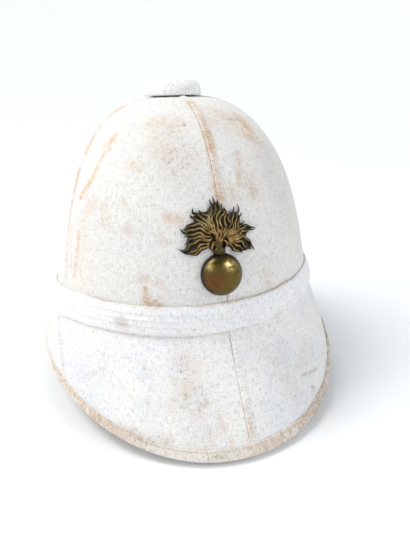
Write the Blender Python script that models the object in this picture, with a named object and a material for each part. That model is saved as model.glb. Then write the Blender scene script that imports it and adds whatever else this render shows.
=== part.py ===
"""Pith helmet: a hollow shell covered in cloth, with hat band, bound rim, vent button and brass badge.

Metres, +Z up, front towards -Y. It rests on the front and the back of its bound rim.
Every cloth layer is the same outer skin, sunk or raised by a named depth, so the layers follow each other.
"""
from math import acos, asin, cos, hypot, pi, radians, sin

import bmesh
import bpy
from mathutils import Matrix, Vector

# Crown, measured on the cloth at the top edge of the hat band
CROWN_HALF_WIDTH = 0.098
CROWN_HALF_LENGTH = 0.110
CROWN_TOP = 0.2172
PEAK_BACK = 0.0024
PLAN_SQUARENESS = 2.1
DOME_SQUARENESS = 2.98
DOME_FULLNESS = 1.68

# Hat band, whose top edge drops towards the back
BAND_TOP_FRONT = 0.0940
BAND_TOP_FLANK = 0.0840
BAND_TOP_BACK = 0.0602
BAND_TILT = 0.0225
BAND_HEIGHT = 0.0210
BAND_THICKNESS = 0.0028
BAND_EDGE_ROLL = 0.0008
BAND_ROLL_WIDTH = 0.0024
FOOT_SPREAD = 0.0019
CROWN_FLARE = 0.0055
CROWN_FLARE_FADE = 12
FOOT_FLARE = 0.0120
FLANK_SHARPNESS = 5

# Brim, out to the nose of its binding
RIM_HALF_WIDTH = 0.1209
RIM_FRONT = 0.1534
RIM_BACK = 0.172
RIM_SIDE_LIFT = 0.026
RIM_ARCH = 2.5

# Seams between the cloth panels: one in front, one behind and one on each side
SIDE_SEAM = radians(75.5)
SIDE_SEAM_SWING = radians(9.7)

# Walls
SHELL_WALL = 0.0040
COVER_WALL = 0.0010
BINDING_WALL = 0.0011
BINDING_WIDTH = 0.0085
BINDING_CORNER = 0.0018
BINDING_NOSE = 0.0006
FIT = 0.0003

# Flat-felled seams, a raised strip on one side of each joint between panels
FELL_ANGLE = radians(4.0)
FELL_EDGE = radians(0.6)
FELL_RAISE = 0.0006

# Ventilator button and the stem that holds it in the shell
VENT_RADIUS = 0.011
BUTTON_RADIUS = 0.0228
BUTTON_HEIGHT = 0.0125
BUTTON_EDGE_HEIGHT = 0.0031
BUTTON_FOOT_RADIUS = 0.0221
BUTTON_SOFTNESS = 0.45
STEM_END = 0.0020

# Badge, flat sizes before it is bent to the crown
BALL_RADIUS = 0.0134
BALL_HEIGHT = 0.0095
BALL_ABOVE_BAND = 0.0194
BADGE_ASIDE = -0.0033
FLAME_REACH = 0.0292
FLAME_ROOT = 0.0170
FLAME_PLATE = 0.0014
FLAME_RIDGE = 0.0030
COLLAR_RADIUS = 0.0036
COLLAR_LIP = 0.0044
COLLAR_ASIDE = -0.0007
COLLAR_HEIGHT = 0.0070
COLLAR_STEP = 0.0023
COLLAR_FOOT = 0.0114

# Flames round the root, clockwise from the lower left: angles from upright in degrees of each tip and
# of the notch after it, and their lengths as shares of FLAME_REACH
FLAMES = (
    {"tip_at": -88, "tip": 0.86, "notch_at": -83, "notch": 0.69},
    {"tip_at": -80, "tip": 0.73, "notch_at": -73, "notch": 0.67},
    {"tip_at": -70, "tip": 0.76, "notch_at": -66, "notch": 0.70},
    {"tip_at": -61, "tip": 0.88, "notch_at": -47, "notch": 0.74},
    {"tip_at": -38, "tip": 0.87, "notch_at": -34, "notch": 0.82},
    {"tip_at": -30, "tip": 0.93, "notch_at": -27, "notch": 0.79},
    {"tip_at": -23, "tip": 0.84, "notch_at": -16, "notch": 0.74},
    {"tip_at": -6, "tip": 0.95, "notch_at": -4, "notch": 0.87},
    {"tip_at": -1, "tip": 1.00, "notch_at": 9, "notch": 0.78},
    {"tip_at": 12, "tip": 0.87, "notch_at": 21, "notch": 0.68},
    {"tip_at": 28, "tip": 0.88, "notch_at": 31, "notch": 0.79},
    {"tip_at": 34, "tip": 0.96, "notch_at": 41, "notch": 0.80},
    {"tip_at": 44, "tip": 0.87, "notch_at": 48, "notch": 0.69},
    {"tip_at": 56, "tip": 0.79, "notch_at": 60, "notch": 0.70},
    {"tip_at": 75, "tip": 0.95, "notch_at": 79, "notch": 0.65},
    {"tip_at": 88, "tip": 0.71, "notch_at": 94, "notch": 0.66},
    {"tip_at": 103, "tip": 0.84, "notch_at": 109, "notch": 0.58},
)

# Lower edges of the flames, from the collar out to the lower left and back in from the lower right
FLAME_LEFT_EDGE = ({"at": -110, "reach": 0.17}, {"at": -104, "reach": 0.45}, {"at": -103, "reach": 0.64})
FLAME_RIGHT_EDGE = ({"at": 117, "reach": 0.41}, {"at": 125, "reach": 0.15})

# Facets
STATION_STEP = radians(6)
CROWN_ROWS = 10
BRIM_ROWS = 4
BUTTON_SIDES = 28
BUTTON_RINGS = 6
BALL_SIDES = 20
BALL_RINGS = 6
COLLAR_SIDES = 12
BADGE_CUT = 0.0070
BADGE_CUTS_EACH_WAY = 8
SHARP_ANGLE = radians(40)
SLOPE_STEP = radians(0.23)
MERGE = 1e-6

# Rows of the skin, from the vent hole down: crown to 1, hat band to 2, brim to 3
BAND_ROW = 1
BRIM_ROW = 2
RIM_ROW = 3
BAND_MIDDLE_ROW = (BAND_ROW + BRIM_ROW) / 2


def signed_power(value, exponent):
    """Power of the size of a number, with its sign kept."""
    return abs(value) ** exponent * (1 if value >= 0 else -1)


def plan(angle, half_width, half_length):
    """Point on a rounded plan outline; the angle is 0 at the front and grows towards +X."""
    exponent = 2 / PLAN_SQUARENESS
    return Vector((
        half_width * signed_power(sin(angle), exponent),
        -half_length * signed_power(cos(angle), exponent),
        0,
    ))


def band_top(angle):
    """Height of the hat band's top edge, a cubic through its front, side and back heights."""
    ahead = cos(angle)
    front = BAND_TOP_FRONT - BAND_TOP_FLANK
    back = BAND_TOP_BACK - BAND_TOP_FLANK
    even = (front + back) / 2
    odd = (front - back) / 2 - BAND_TILT
    return BAND_TOP_FLANK + BAND_TILT * ahead + even * ahead ** 2 + odd * ahead ** 3


def flank(angle):
    """Share of the flare at an angle: 1 at the wearer's left flank, -1 at the right, 0 at front and back."""
    return signed_power(sin(angle), FLANK_SHARPNESS)


def crown(angle, climb):
    """Point on the dome; climb is 0 at the band and a quarter turn at the peak."""
    spread = cos(climb) ** (2 / DOME_SQUARENESS)
    rise = sin(climb) ** (2 / DOME_FULLNESS)
    point = plan(angle, CROWN_HALF_WIDTH * spread, CROWN_HALF_LENGTH * spread)
    point.x += CROWN_FLARE * flank(angle) * (1 - rise) ** CROWN_FLARE_FADE
    point.y += PEAK_BACK * rise
    point.z = band_top(angle) * (1 - rise) + CROWN_TOP * rise
    return point


def foot(angle):
    """Point where the crown meets the brim, behind the hat band's lower edge."""
    point = plan(angle, CROWN_HALF_WIDTH + FOOT_SPREAD, CROWN_HALF_LENGTH + FOOT_SPREAD)
    point.x += FOOT_FLARE * flank(angle)
    point.z = band_top(angle) - BAND_HEIGHT
    return point


def rim(angle):
    """Point on the rim, lifted so that the lower edge of the binding follows the arch of the rim."""
    turned = angle - SIDE_SEAM_SWING * sin(angle)
    reach = RIM_FRONT if cos(turned) > 0 else RIM_BACK
    point = Vector((RIM_HALF_WIDTH * sin(turned), -reach * cos(turned), 0))
    start = foot(angle)
    run = hypot(point.x - start.x, point.y - start.y)
    drop = start.z
    rim_depth = COVER_WALL + SHELL_WALL + BINDING_WALL + 2 * FIT
    point.z = RIM_SIDE_LIFT * abs(sin(turned)) ** RIM_ARCH + rim_depth * run / hypot(run, drop)
    return point


VENT_CLIMB = acos((VENT_RADIUS / CROWN_HALF_WIDTH) ** (DOME_SQUARENESS / 2))


def skin(angle, row):
    """Point on the outer face of the cloth."""
    if row < BAND_ROW:
        return crown(angle, VENT_CLIMB * (1 - row))
    if row < BRIM_ROW:
        return crown(angle, 0).lerp(foot(angle), row - BAND_ROW)
    return foot(angle).lerp(rim(angle), row - BRIM_ROW)


def outward(angle, row):
    """Unit direction square to the skin."""
    around = skin(angle + SLOPE_STEP, row) - skin(angle - SLOPE_STEP, row)
    down = skin(angle, row + SLOPE_STEP) - skin(angle, row - SLOPE_STEP)
    return down.cross(around).normalized()


def layer(angle, row, depth):
    """Point sunk below the skin by a depth, or raised above it where the depth is negative."""
    return skin(angle, row) - outward(angle, row) * depth


def short_of_rim(angle, distance):
    """Row that lies a distance inside the rim, measured square to the rim."""
    down = rim(angle) - foot(angle)
    along = rim(angle + SLOPE_STEP) - rim(angle - SLOPE_STEP)
    square = down.normalized().cross(along.normalized()).length
    return RIM_ROW - distance / (down.length * square)


def evenly(first, last, count):
    """Evenly spaced values, both ends included."""
    return [first + (last - first) * step / count for step in range(count + 1)]


PANELS = {
    "front_left": (0, SIDE_SEAM),
    "back_left": (SIDE_SEAM, pi),
    "back_right": (pi, 2 * pi - SIDE_SEAM),
    "front_right": (2 * pi - SIDE_SEAM, 2 * pi),
}


def panel_stations(panel):
    """Angles across one panel, with close ones at the felled strip beside its first seam."""
    first, last = PANELS[panel]
    regular = evenly(first, last, round((last - first) / STATION_STEP))
    return [first, first + FELL_ANGLE, first + FELL_ANGLE + FELL_EDGE] + regular[1:]


ROUND_STATIONS = [angle for panel in PANELS for angle in panel_stations(panel)[:-1]]


def make_material(name, colour, roughness, metallic=0.0):
    """Plain principled material."""
    material = bpy.data.materials.new(name)
    material.use_nodes = True
    shader = material.node_tree.nodes["Principled BSDF"]
    shader.inputs["Base Color"].default_value = (*colour, 1)
    shader.inputs["Roughness"].default_value = roughness
    shader.inputs["Metallic"].default_value = metallic
    return material


def add_object(name, bm, material):
    """Object from a bmesh, faces outwards, round faces shaded smooth."""
    bmesh.ops.recalc_face_normals(bm, faces=bm.faces)
    if bm.calc_volume(signed=True) < 0:
        bmesh.ops.reverse_faces(bm, faces=bm.faces)
    mesh = bpy.data.meshes.new(name)
    bm.to_mesh(mesh)
    bm.free()
    mesh.materials.append(material)
    mesh.shade_smooth()
    mesh.set_sharp_from_angle(angle=SHARP_ANGLE)
    piece = bpy.data.objects.new(name, mesh)
    bpy.context.collection.objects.link(piece)
    piece.parent = helmet
    return piece


def loft(name, sections, order, material, closed):
    """Solid through sections, each a loop of points; an open one is a wall whose ends are closed by strips.

    The order of each point down the helmet sets the diagonal of each facet, so that neighbouring layers,
    whose facets are twisted alike, are also split alike.
    """
    bm = bmesh.new()
    loops = [[bm.verts.new(point) for point in section] for section in sections]
    size = len(loops[0])
    following = loops[1:] + loops[:1] if closed else loops[1:]
    for loop, other in zip(loops, following):
        for index in range(size):
            after = (index + 1) % size
            if order[after] >= order[index]:
                bm.faces.new((loop[index], loop[after], other[after]))
                bm.faces.new((loop[index], other[after], other[index]))
            else:
                bm.faces.new((loop[index], loop[after], other[index]))
                bm.faces.new((loop[after], other[after], other[index]))
    if not closed:
        for loop in (loops[0], loops[-1]):
            for index in range(size // 2 - 1):
                facing = size - 1 - index
                bm.faces.new((loop[index], loop[index + 1], loop[facing - 1], loop[facing]))
    return add_object(name, bm, material)


def wall_section(angle, rows, outer_depth, inner_depth):
    """Section of a wall: down its outer face and back up its inner face."""
    outer = [layer(angle, row, outer_depth) for row in rows]
    inner = [layer(angle, row, inner_depth) for row in reversed(rows)]
    return outer + inner


def wall_order(rows):
    """Order of a wall section's points down the helmet."""
    return list(rows) + list(reversed(rows))


def shell_rows(angle):
    """Rows of the shell from the vent hole to just inside the binding."""
    crown_rows = evenly(0, BAND_ROW, CROWN_ROWS)
    brim_rows = evenly(BRIM_ROW, short_of_rim(angle, BINDING_WALL + FIT), BRIM_ROWS)
    return crown_rows + [BAND_MIDDLE_ROW] + brim_rows


def make_shell(material):
    """Pith body: crown and brim in one hollow wall, open below, with the vent hole on top."""
    outer = COVER_WALL + FIT
    sections = [wall_section(angle, shell_rows(angle), outer, outer + SHELL_WALL) for angle in ROUND_STATIONS]
    return loft("shell", sections, wall_order(shell_rows(0)), material, closed=True)


def make_panel(kind, panel, rows_at, material):
    """Cloth panel between two seams, with a felled strip beside its first seam and a fit gap at both."""
    stations = panel_stations(panel)
    felled = stations[:2]
    into_panel = {stations[0]: 1, stations[-1]: -1}
    sections = []
    for angle in stations:
        raised = FELL_RAISE if angle in felled else 0
        outer = []
        inner = []
        for row in rows_at(angle):
            flat = skin(angle, row)
            turn = into_panel.get(angle, 0) * FIT / 2 / hypot(flat.x, flat.y)
            outer.append(layer(angle + turn, row, -raised))
            inner.append(layer(angle + turn, row, COVER_WALL))
        sections.append(outer + inner[::-1])
    return loft(f"{kind}_{panel}", sections, wall_order(rows_at(0)), material, closed=False)


def crown_panel_rows(angle):
    """Rows of a crown panel, which ends behind the middle of the hat band."""
    half_gap = FIT / 2 / BAND_HEIGHT
    return evenly(0, BAND_ROW, CROWN_ROWS) + [BAND_MIDDLE_ROW - half_gap]


def brim_panel_rows(angle):
    """Rows of a brim panel, from behind the hat band to inside the binding."""
    half_gap = FIT / 2 / BAND_HEIGHT
    edge = short_of_rim(angle, BINDING_WALL + FIT)
    return [BAND_MIDDLE_ROW + half_gap] + evenly(BRIM_ROW, edge, BRIM_ROWS)


def make_hat_band(material):
    """Folded cloth band round the foot of the crown, with a rolled edge above and below."""
    inside = FELL_RAISE + FIT
    face = inside + BAND_THICKNESS
    roll = BAND_EDGE_ROLL / BAND_HEIGHT
    roll_end = BAND_ROLL_WIDTH / BAND_HEIGHT
    last = 1 - FIT / BAND_HEIGHT
    profile = (
        {"down": 0, "out": inside},
        {"down": 0, "out": face - BAND_EDGE_ROLL},
        {"down": roll, "out": face + BAND_EDGE_ROLL},
        {"down": roll_end, "out": face},
        {"down": last - roll_end, "out": face},
        {"down": last - roll, "out": face + BAND_EDGE_ROLL},
        {"down": last, "out": face - BAND_EDGE_ROLL},
        {"down": last, "out": inside},
    )
    sections = []
    for angle in ROUND_STATIONS:
        away = outward(angle, BAND_MIDDLE_ROW)
        sections.append([skin(angle, BAND_ROW + at["down"]) + away * at["out"] for at in profile])
    return loft("hat_band", sections, [at["down"] for at in profile], material, closed=True)


def make_rim_binding(material):
    """Cloth tape folded round the rim: a U over the brim panels' outer face and the shell's underside."""
    top = FELL_RAISE + FIT
    under = COVER_WALL + SHELL_WALL + 2 * FIT
    profile = (
        {"inside_rim": BINDING_WIDTH, "depth": -top},
        {"inside_rim": BINDING_WIDTH, "depth": -top - BINDING_WALL},
        {"inside_rim": BINDING_CORNER, "depth": -top - BINDING_WALL},
        {"inside_rim": BINDING_NOSE, "depth": 0.0},
        {"inside_rim": 0, "depth": under / 2},
        {"inside_rim": BINDING_NOSE, "depth": under - FIT},
        {"inside_rim": BINDING_CORNER, "depth": under + BINDING_WALL},
        {"inside_rim": BINDING_WIDTH, "depth": under + BINDING_WALL},
        {"inside_rim": BINDING_WIDTH, "depth": under},
        {"inside_rim": BINDING_WALL, "depth": under},
        {"inside_rim": BINDING_WALL, "depth": -top},
    )
    sections = [
        [layer(angle, short_of_rim(angle, at["inside_rim"]), at["depth"]) for at in profile]
        for angle in ROUND_STATIONS
    ]
    return loft("rim_binding", sections, [-at["inside_rim"] for at in profile], material, closed=True)


def spin_profile(bm, profile, sides):
    """Solid of revolution about Z from a profile of radius and height that starts and ends on the axis."""
    chain = [bm.verts.new((radius, 0, height)) for radius, height in profile]
    edges = [bm.edges.new(pair) for pair in zip(chain, chain[1:])]
    bmesh.ops.spin(
        bm, geom=chain + edges, cent=(0, 0, 0), axis=(0, 0, 1), dvec=(0, 0, 0),
        angle=2 * pi, steps=sides, use_merge=True, use_duplicate=False,
    )
    bmesh.ops.remove_doubles(bm, verts=bm.verts, dist=MERGE)


def make_vent_button(material):
    """Cloth-covered ventilator button, with the stem that passes through the vent hole."""
    top_edge = skin(0, 0)
    under_shell = COVER_WALL + FIT + SHELL_WALL
    stem = VENT_RADIUS - 2 * FIT - COVER_WALL
    shoulder = [
        (
            BUTTON_RADIUS * cos(climb) ** BUTTON_SOFTNESS,
            BUTTON_EDGE_HEIGHT + (BUTTON_HEIGHT - BUTTON_EDGE_HEIGHT) * sin(climb),
        )
        for climb in evenly(pi / 2, 0, BUTTON_RINGS)
    ]
    stem_foot = -under_shell - STEM_END
    below = [(BUTTON_FOOT_RADIUS, 0), (stem, 0), (stem, stem_foot), (0, stem_foot)]
    bm = bmesh.new()
    spin_profile(bm, [(0, BUTTON_HEIGHT)] + shoulder[1:] + below, BUTTON_SIDES)
    seat = Vector((0, PEAK_BACK, top_edge.z + FELL_RAISE + FIT))
    bmesh.ops.translate(bm, verts=bm.verts, vec=seat)
    return add_object("vent_button", bm, material)


def badge_to_crown(flat):
    """Bends a point of the flat badge, with its height above the plate's back, onto the crown's front."""
    rise = (flat.z + BALL_ABOVE_BAND) / (CROWN_TOP - band_top(0))
    climb = asin(max(rise, 0) ** (DOME_FULLNESS / 2))
    share = (flat.x + BADGE_ASIDE) / (CROWN_HALF_WIDTH * cos(climb) ** (2 / DOME_SQUARENESS))
    angle = asin(signed_power(share, PLAN_SQUARENESS / 2))
    row = 1 - climb / VENT_CLIMB
    return layer(angle, row, -flat.y - FIT - FELL_RAISE)


def flame_outline():
    """Flat outline of the flames: out along the lower left, tip and notch in turn, and back on the right."""
    polar = [(edge["at"], edge["reach"]) for edge in FLAME_LEFT_EDGE]
    for flame in FLAMES:
        polar += [(flame["tip_at"], flame["tip"]), (flame["notch_at"], flame["notch"])]
    polar += [(edge["at"], edge["reach"]) for edge in FLAME_RIGHT_EDGE]
    return [
        (FLAME_REACH * share * sin(radians(at)), FLAME_ROOT + FLAME_REACH * share * cos(radians(at)))
        for at, share in polar
    ]


def add_flames(bm):
    """Flame plate with a ridge that falls from the root to every tip."""
    root = bm.verts.new((0, FLAME_RIDGE, FLAME_ROOT))
    front = [bm.verts.new((x, FLAME_PLATE, z)) for x, z in flame_outline()]
    back = [bm.verts.new((x, 0, z)) for x, z in flame_outline()]
    root_back = bm.verts.new((0, 0, FLAME_ROOT))
    count = len(front)
    for index in range(count):
        after = (index + 1) % count
        bm.faces.new((root, front[index], front[after]))
        bm.faces.new((front[index], back[index], back[after], front[after]))
        bm.faces.new((root_back, back[after], back[index]))


def flat_object(name, bm):
    """Working object for a union."""
    bmesh.ops.recalc_face_normals(bm, faces=bm.faces)
    mesh = bpy.data.meshes.new(name)
    bm.to_mesh(mesh)
    bm.free()
    working = bpy.data.objects.new(name, mesh)
    working.hide_render = True
    working.display_type = "WIRE"
    bpy.context.collection.objects.link(working)
    return working


def make_badge(material):
    """Stamped badge: a domed ball, a two-step collar and flames, one solid bent to the front of the crown."""
    flames = bmesh.new()
    add_flames(flames)
    ball = bmesh.new()
    dome = [(BALL_RADIUS * cos(climb), BALL_HEIGHT * sin(climb)) for climb in evenly(pi / 2, 0, BALL_RINGS)]
    spin_profile(ball, [(0, BALL_HEIGHT)] + dome[1:] + [(0, 0)], BALL_SIDES)
    bmesh.ops.rotate(ball, verts=ball.verts, cent=(0, 0, 0), matrix=Matrix.Rotation(-pi / 2, 3, "X"))
    collar = bmesh.new()
    step_up = BALL_RADIUS + COLLAR_STEP
    collar_top = BALL_RADIUS + COLLAR_HEIGHT
    spin_profile(collar, [
        (0, collar_top), (COLLAR_RADIUS, collar_top), (COLLAR_RADIUS, step_up),
        (COLLAR_LIP, step_up), (COLLAR_LIP, COLLAR_FOOT), (0, COLLAR_FOOT),
    ], COLLAR_SIDES)
    bmesh.ops.translate(collar, verts=collar.verts, vec=(COLLAR_ASIDE, 0, 0))
    bmesh.ops.bisect_plane(
        collar, geom=collar.verts[:] + collar.edges[:] + collar.faces[:], plane_co=(0, 0, 0),
        plane_no=(0, -1, 0), clear_outer=True,
    )
    bmesh.ops.holes_fill(collar, edges=[edge for edge in collar.edges if edge.is_boundary])

    body = flat_object("badge_flames", flames)
    for number, cutter_mesh in enumerate((ball, collar)):
        union = body.modifiers.new(f"join_{number}", "BOOLEAN")
        union.operation = "UNION"
        union.object = flat_object(f"badge_form_{number}", cutter_mesh)
        union.use_self = True
    depsgraph = bpy.context.evaluated_depsgraph_get()
    joined = bmesh.new()
    joined.from_object(body, depsgraph)
    for axis in (0, 2):
        for step in range(-BADGE_CUTS_EACH_WAY, BADGE_CUTS_EACH_WAY + 1):
            normal = Vector((0, 0, 0))
            normal[axis] = 1
            bmesh.ops.bisect_plane(
                joined, geom=joined.verts[:] + joined.edges[:] + joined.faces[:], dist=MERGE,
                plane_co=normal * step * BADGE_CUT, plane_no=normal,
            )
    for vertex in joined.verts:
        vertex.co = badge_to_crown(vertex.co)
    return add_object("badge", joined, material)


for old in list(bpy.data.objects):
    bpy.data.objects.remove(old, do_unlink=True)
helmet = bpy.data.objects.new("helmet", None)
bpy.context.collection.objects.link(helmet)

canvas = make_material("canvas", (0.80, 0.77, 0.75), 0.95)
band_cloth = make_material("band_cloth", (0.82, 0.79, 0.78), 0.95)
edge_cloth = make_material("edge_cloth", (0.74, 0.66, 0.58), 0.95)
pith = make_material("pith", (0.62, 0.52, 0.38), 0.95)
brass = make_material("brass", (0.45, 0.36, 0.16), 0.4, 1.0)

make_shell(pith)
for panel in PANELS:
    make_panel("crown_panel", panel, crown_panel_rows, canvas)
    make_panel("brim_panel", panel, brim_panel_rows, canvas)
make_hat_band(band_cloth)
binding = make_rim_binding(edge_cloth)
make_vent_button(canvas)
make_badge(brass)

# Stand the helmet on the floor, centred over the origin
reach = [vertex.co for vertex in binding.data.vertices]
low = Vector([min(point[axis] for point in reach) for axis in range(3)])
high = Vector([max(point[axis] for point in reach) for axis in range(3)])
helmet.location = (-(low.x + high.x) / 2, -(low.y + high.y) / 2, -low.z)
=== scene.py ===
# %% [markdown]
# # A cloth-covered pith helmet
# A pith helmet is a light, hollow body of pith with thin cotton canvas sewn over it. The canvas is
# whitened with chalky clay, so the cloth reads white, with tan threads where the white has rubbed off.
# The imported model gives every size. This file dresses it: finer cloth, real stitches, a folded
# binding and a stamped brass badge, each made over the plain solid that it stands for.

# %% Load the frame
from collections import namedtuple
from math import acos, asin, atan2, cos, hypot, pi, radians, sin

import bmesh
import bpy
import numpy as np
from mathutils import Matrix, Vector, noise


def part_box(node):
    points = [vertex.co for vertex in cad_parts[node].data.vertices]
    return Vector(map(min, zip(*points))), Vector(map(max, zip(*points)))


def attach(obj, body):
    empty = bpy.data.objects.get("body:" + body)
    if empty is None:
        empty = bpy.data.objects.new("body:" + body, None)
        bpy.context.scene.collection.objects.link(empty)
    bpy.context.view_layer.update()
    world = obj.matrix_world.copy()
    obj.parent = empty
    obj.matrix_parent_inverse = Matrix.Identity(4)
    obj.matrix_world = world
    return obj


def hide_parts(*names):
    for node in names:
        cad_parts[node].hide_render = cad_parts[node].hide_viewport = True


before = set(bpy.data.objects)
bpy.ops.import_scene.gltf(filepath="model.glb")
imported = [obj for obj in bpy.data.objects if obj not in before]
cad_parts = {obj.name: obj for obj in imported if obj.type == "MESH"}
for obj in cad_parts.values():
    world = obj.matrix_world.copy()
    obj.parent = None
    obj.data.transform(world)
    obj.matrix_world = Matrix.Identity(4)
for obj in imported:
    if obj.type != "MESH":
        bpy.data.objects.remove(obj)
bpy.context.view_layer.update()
print("CAD nodes:", ", ".join(sorted(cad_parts)))

# %% [markdown]
# The camera stands in front, a little to the wearer's right and above, and leans by about a degree
# and a half. It could be turned by three angles, but its directions are worked out here from where it
# stands and what it looks at, because those two points can be read off the scene. A steeper camera
# would show more of the crown's top and less of the badge.

# %% Camera
CAMERA_AT = Vector((-0.09207, -0.35054, 0.21919))
CAMERA_AIM = Vector((0.02206, -0.00863, 0.06678))
CAMERA_LEAN = radians(-1.63)
CAMERA_LENS = 28.3
CAMERA_NEAREST = 0.01

back = (CAMERA_AT - CAMERA_AIM).normalized()
level_right = (-back).cross(Vector((0, 0, 1))).normalized()
level_up = level_right.cross(-back)
right = level_right * cos(CAMERA_LEAN) + level_up * sin(CAMERA_LEAN)
up = level_up * cos(CAMERA_LEAN) - level_right * sin(CAMERA_LEAN)
camera_data = bpy.data.cameras.new("camera")
camera_data.lens = CAMERA_LENS
camera_data.clip_start = CAMERA_NEAREST
camera = bpy.data.objects.new("camera", camera_data)
camera.matrix_world = Matrix.Translation(CAMERA_AT) @ Matrix((right, up, back)).transposed().to_4x4()
bpy.context.scene.collection.objects.link(camera)
bpy.context.scene.camera = camera
print("camera distance", round((CAMERA_AT - CAMERA_AIM).length, 3))

# %% [markdown]
# The sizes below repeat those of the solid model, so that each fine piece lies where its solid does.
# The whole helmet is one outer skin, read by an angle round it (0 at the front, growing towards the
# wearer's left) and a row down it: crown to row 1, hat band to row 2, brim to row 3.
#
# Seen from above, the crown is a rounded oval. Seen from the side, it is a tall dome. Both could be
# drawn as curves through many points, but one formula with an exponent makes them from a few sizes
# and leaves no flat spots. Just above the band, the flanks flare out a little.

# %% Plan and dome
CROWN_HALF_WIDTH = 0.098
CROWN_HALF_LENGTH = 0.110
CROWN_TOP = 0.2172
PEAK_BACK = 0.0024
PLAN_SQUARENESS = 2.1
DOME_SQUARENESS = 2.98
DOME_FULLNESS = 1.68
BAND_TOP_FRONT = 0.0940
BAND_TOP_FLANK = 0.0840
BAND_TOP_BACK = 0.0602
BAND_TILT = 0.0225
CROWN_FLARE = 0.0055
CROWN_FLARE_FADE = 12
FLANK_SHARPNESS = 5


def signed_power(value, exponent):
    """Power of the size of a number, with its sign kept."""
    return abs(value) ** exponent * (1 if value >= 0 else -1)


def plan(angle, half_width, half_length):
    """Point on a rounded plan outline."""
    exponent = 2 / PLAN_SQUARENESS
    return Vector((
        half_width * signed_power(sin(angle), exponent),
        -half_length * signed_power(cos(angle), exponent),
        0,
    ))


def band_top(angle):
    """Height of the hat band's top edge."""
    ahead = cos(angle)
    front = BAND_TOP_FRONT - BAND_TOP_FLANK
    rear = BAND_TOP_BACK - BAND_TOP_FLANK
    return (
        BAND_TOP_FLANK + BAND_TILT * ahead + (front + rear) / 2 * ahead ** 2
        + ((front - rear) / 2 - BAND_TILT) * ahead ** 3
    )


def flank(angle):
    """Share of the flare at an angle: 1 at the wearer's left flank, -1 at the right, 0 at front and back."""
    return signed_power(sin(angle), FLANK_SHARPNESS)


def crown(angle, climb):
    """Point on the dome; climb is 0 at the band and a quarter turn at the peak."""
    spread = cos(climb) ** (2 / DOME_SQUARENESS)
    rise = sin(climb) ** (2 / DOME_FULLNESS)
    point = plan(angle, CROWN_HALF_WIDTH * spread, CROWN_HALF_LENGTH * spread)
    point.x += CROWN_FLARE * flank(angle) * (1 - rise) ** CROWN_FLARE_FADE
    point.y += PEAK_BACK * rise
    point.z = band_top(angle) * (1 - rise) + CROWN_TOP * rise
    return point


print("crown", 2 * CROWN_HALF_WIDTH, "by", 2 * CROWN_HALF_LENGTH, "m at the band, peak at", CROWN_TOP, "m")

# %% [markdown]
# The brim slopes from the foot of the crown to the rim. The rim is an oval too, but a longer one
# behind, where it guards the neck, and it arches up at the ears. It could lie flat on the table, but
# then the front and the back would lose their droop. The cloth pieces swing forwards a little on
# their way down, so the angle of the rim is turned against that of the foot.

# %% Foot and rim
BAND_HEIGHT = 0.0210
FOOT_SPREAD = 0.0019
FOOT_FLARE = 0.0120
RIM_HALF_WIDTH = 0.1209
RIM_FRONT = 0.1534
RIM_BACK = 0.172
RIM_SIDE_LIFT = 0.026
RIM_ARCH = 2.5
SIDE_SEAM_SWING = radians(9.7)
SHELL_WALL = 0.0040
COVER_WALL = 0.0010
BINDING_WALL = 0.0011
FIT = 0.0003


def foot(angle):
    """Point where the crown meets the brim."""
    point = plan(angle, CROWN_HALF_WIDTH + FOOT_SPREAD, CROWN_HALF_LENGTH + FOOT_SPREAD)
    point.x += FOOT_FLARE * flank(angle)
    point.z = band_top(angle) - BAND_HEIGHT
    return point


def rim(angle):
    """Point on the rim."""
    turned = angle - SIDE_SEAM_SWING * sin(angle)
    reach = RIM_FRONT if cos(turned) > 0 else RIM_BACK
    point = Vector((RIM_HALF_WIDTH * sin(turned), -reach * cos(turned), 0))
    start = foot(angle)
    run = hypot(point.x - start.x, point.y - start.y)
    rim_depth = COVER_WALL + SHELL_WALL + BINDING_WALL + 2 * FIT
    point.z = RIM_SIDE_LIFT * abs(sin(turned)) ** RIM_ARCH + rim_depth * run / hypot(run, start.z)
    return point


print("rim from", round(rim(0).y, 4), "to", round(rim(pi).y, 4), "m")

# %% [markdown]
# With the crown, the foot and the rim known, one function gives any point of the skin. Everything
# that lies on the helmet asks it for a place and for the direction that points away from it. The
# direction could come from a formula of its own, but a difference between two near points is
# shorter and holds for every part of the skin.

# %% Skin from peak to rim
BAND_ROW = 1
BRIM_ROW = 2
RIM_ROW = 3
SLOPE_STEP = radians(0.23)
VENT_RADIUS = 0.011
VENT_CLIMB = acos((VENT_RADIUS / CROWN_HALF_WIDTH) ** (DOME_SQUARENESS / 2))


def skin(angle, row):
    """Point on the outer face of the cloth, before the helmet is set down on the floor."""
    if row < BAND_ROW:
        return crown(angle, VENT_CLIMB * (1 - row))
    if row < BRIM_ROW:
        return crown(angle, 0).lerp(foot(angle), row - BAND_ROW)
    return foot(angle).lerp(rim(angle), row - BRIM_ROW)


def outward(angle, row):
    """Unit direction square to the skin."""
    around = skin(angle + SLOPE_STEP, row) - skin(angle - SLOPE_STEP, row)
    down = skin(angle, row + SLOPE_STEP) - skin(angle, row - SLOPE_STEP)
    return down.cross(around).normalized()


def short_of_rim(angle, distance):
    """Row that lies a distance inside the rim, measured square to the rim."""
    down = rim(angle) - foot(angle)
    along = rim(angle + SLOPE_STEP) - rim(angle - SLOPE_STEP)
    square = down.normalized().cross(along.normalized()).length
    return RIM_ROW - distance / (down.length * square)


print("heights of the front, rows 0 to 3:", [round(skin(0, row).z, 4) for row in range(RIM_ROW + 1)])

# %% [markdown]
# The formulas measure from under the rim, but the model rests on the floor with its origin under
# the middle of the brim. The ventilator button tells how far to move: its lowest point is known both
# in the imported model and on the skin. Reading it there is safer than typing the distance.

# %% Set the skin down on the floor
FELL_RAISE = 0.0006
STEM_END = 0.0020

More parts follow.
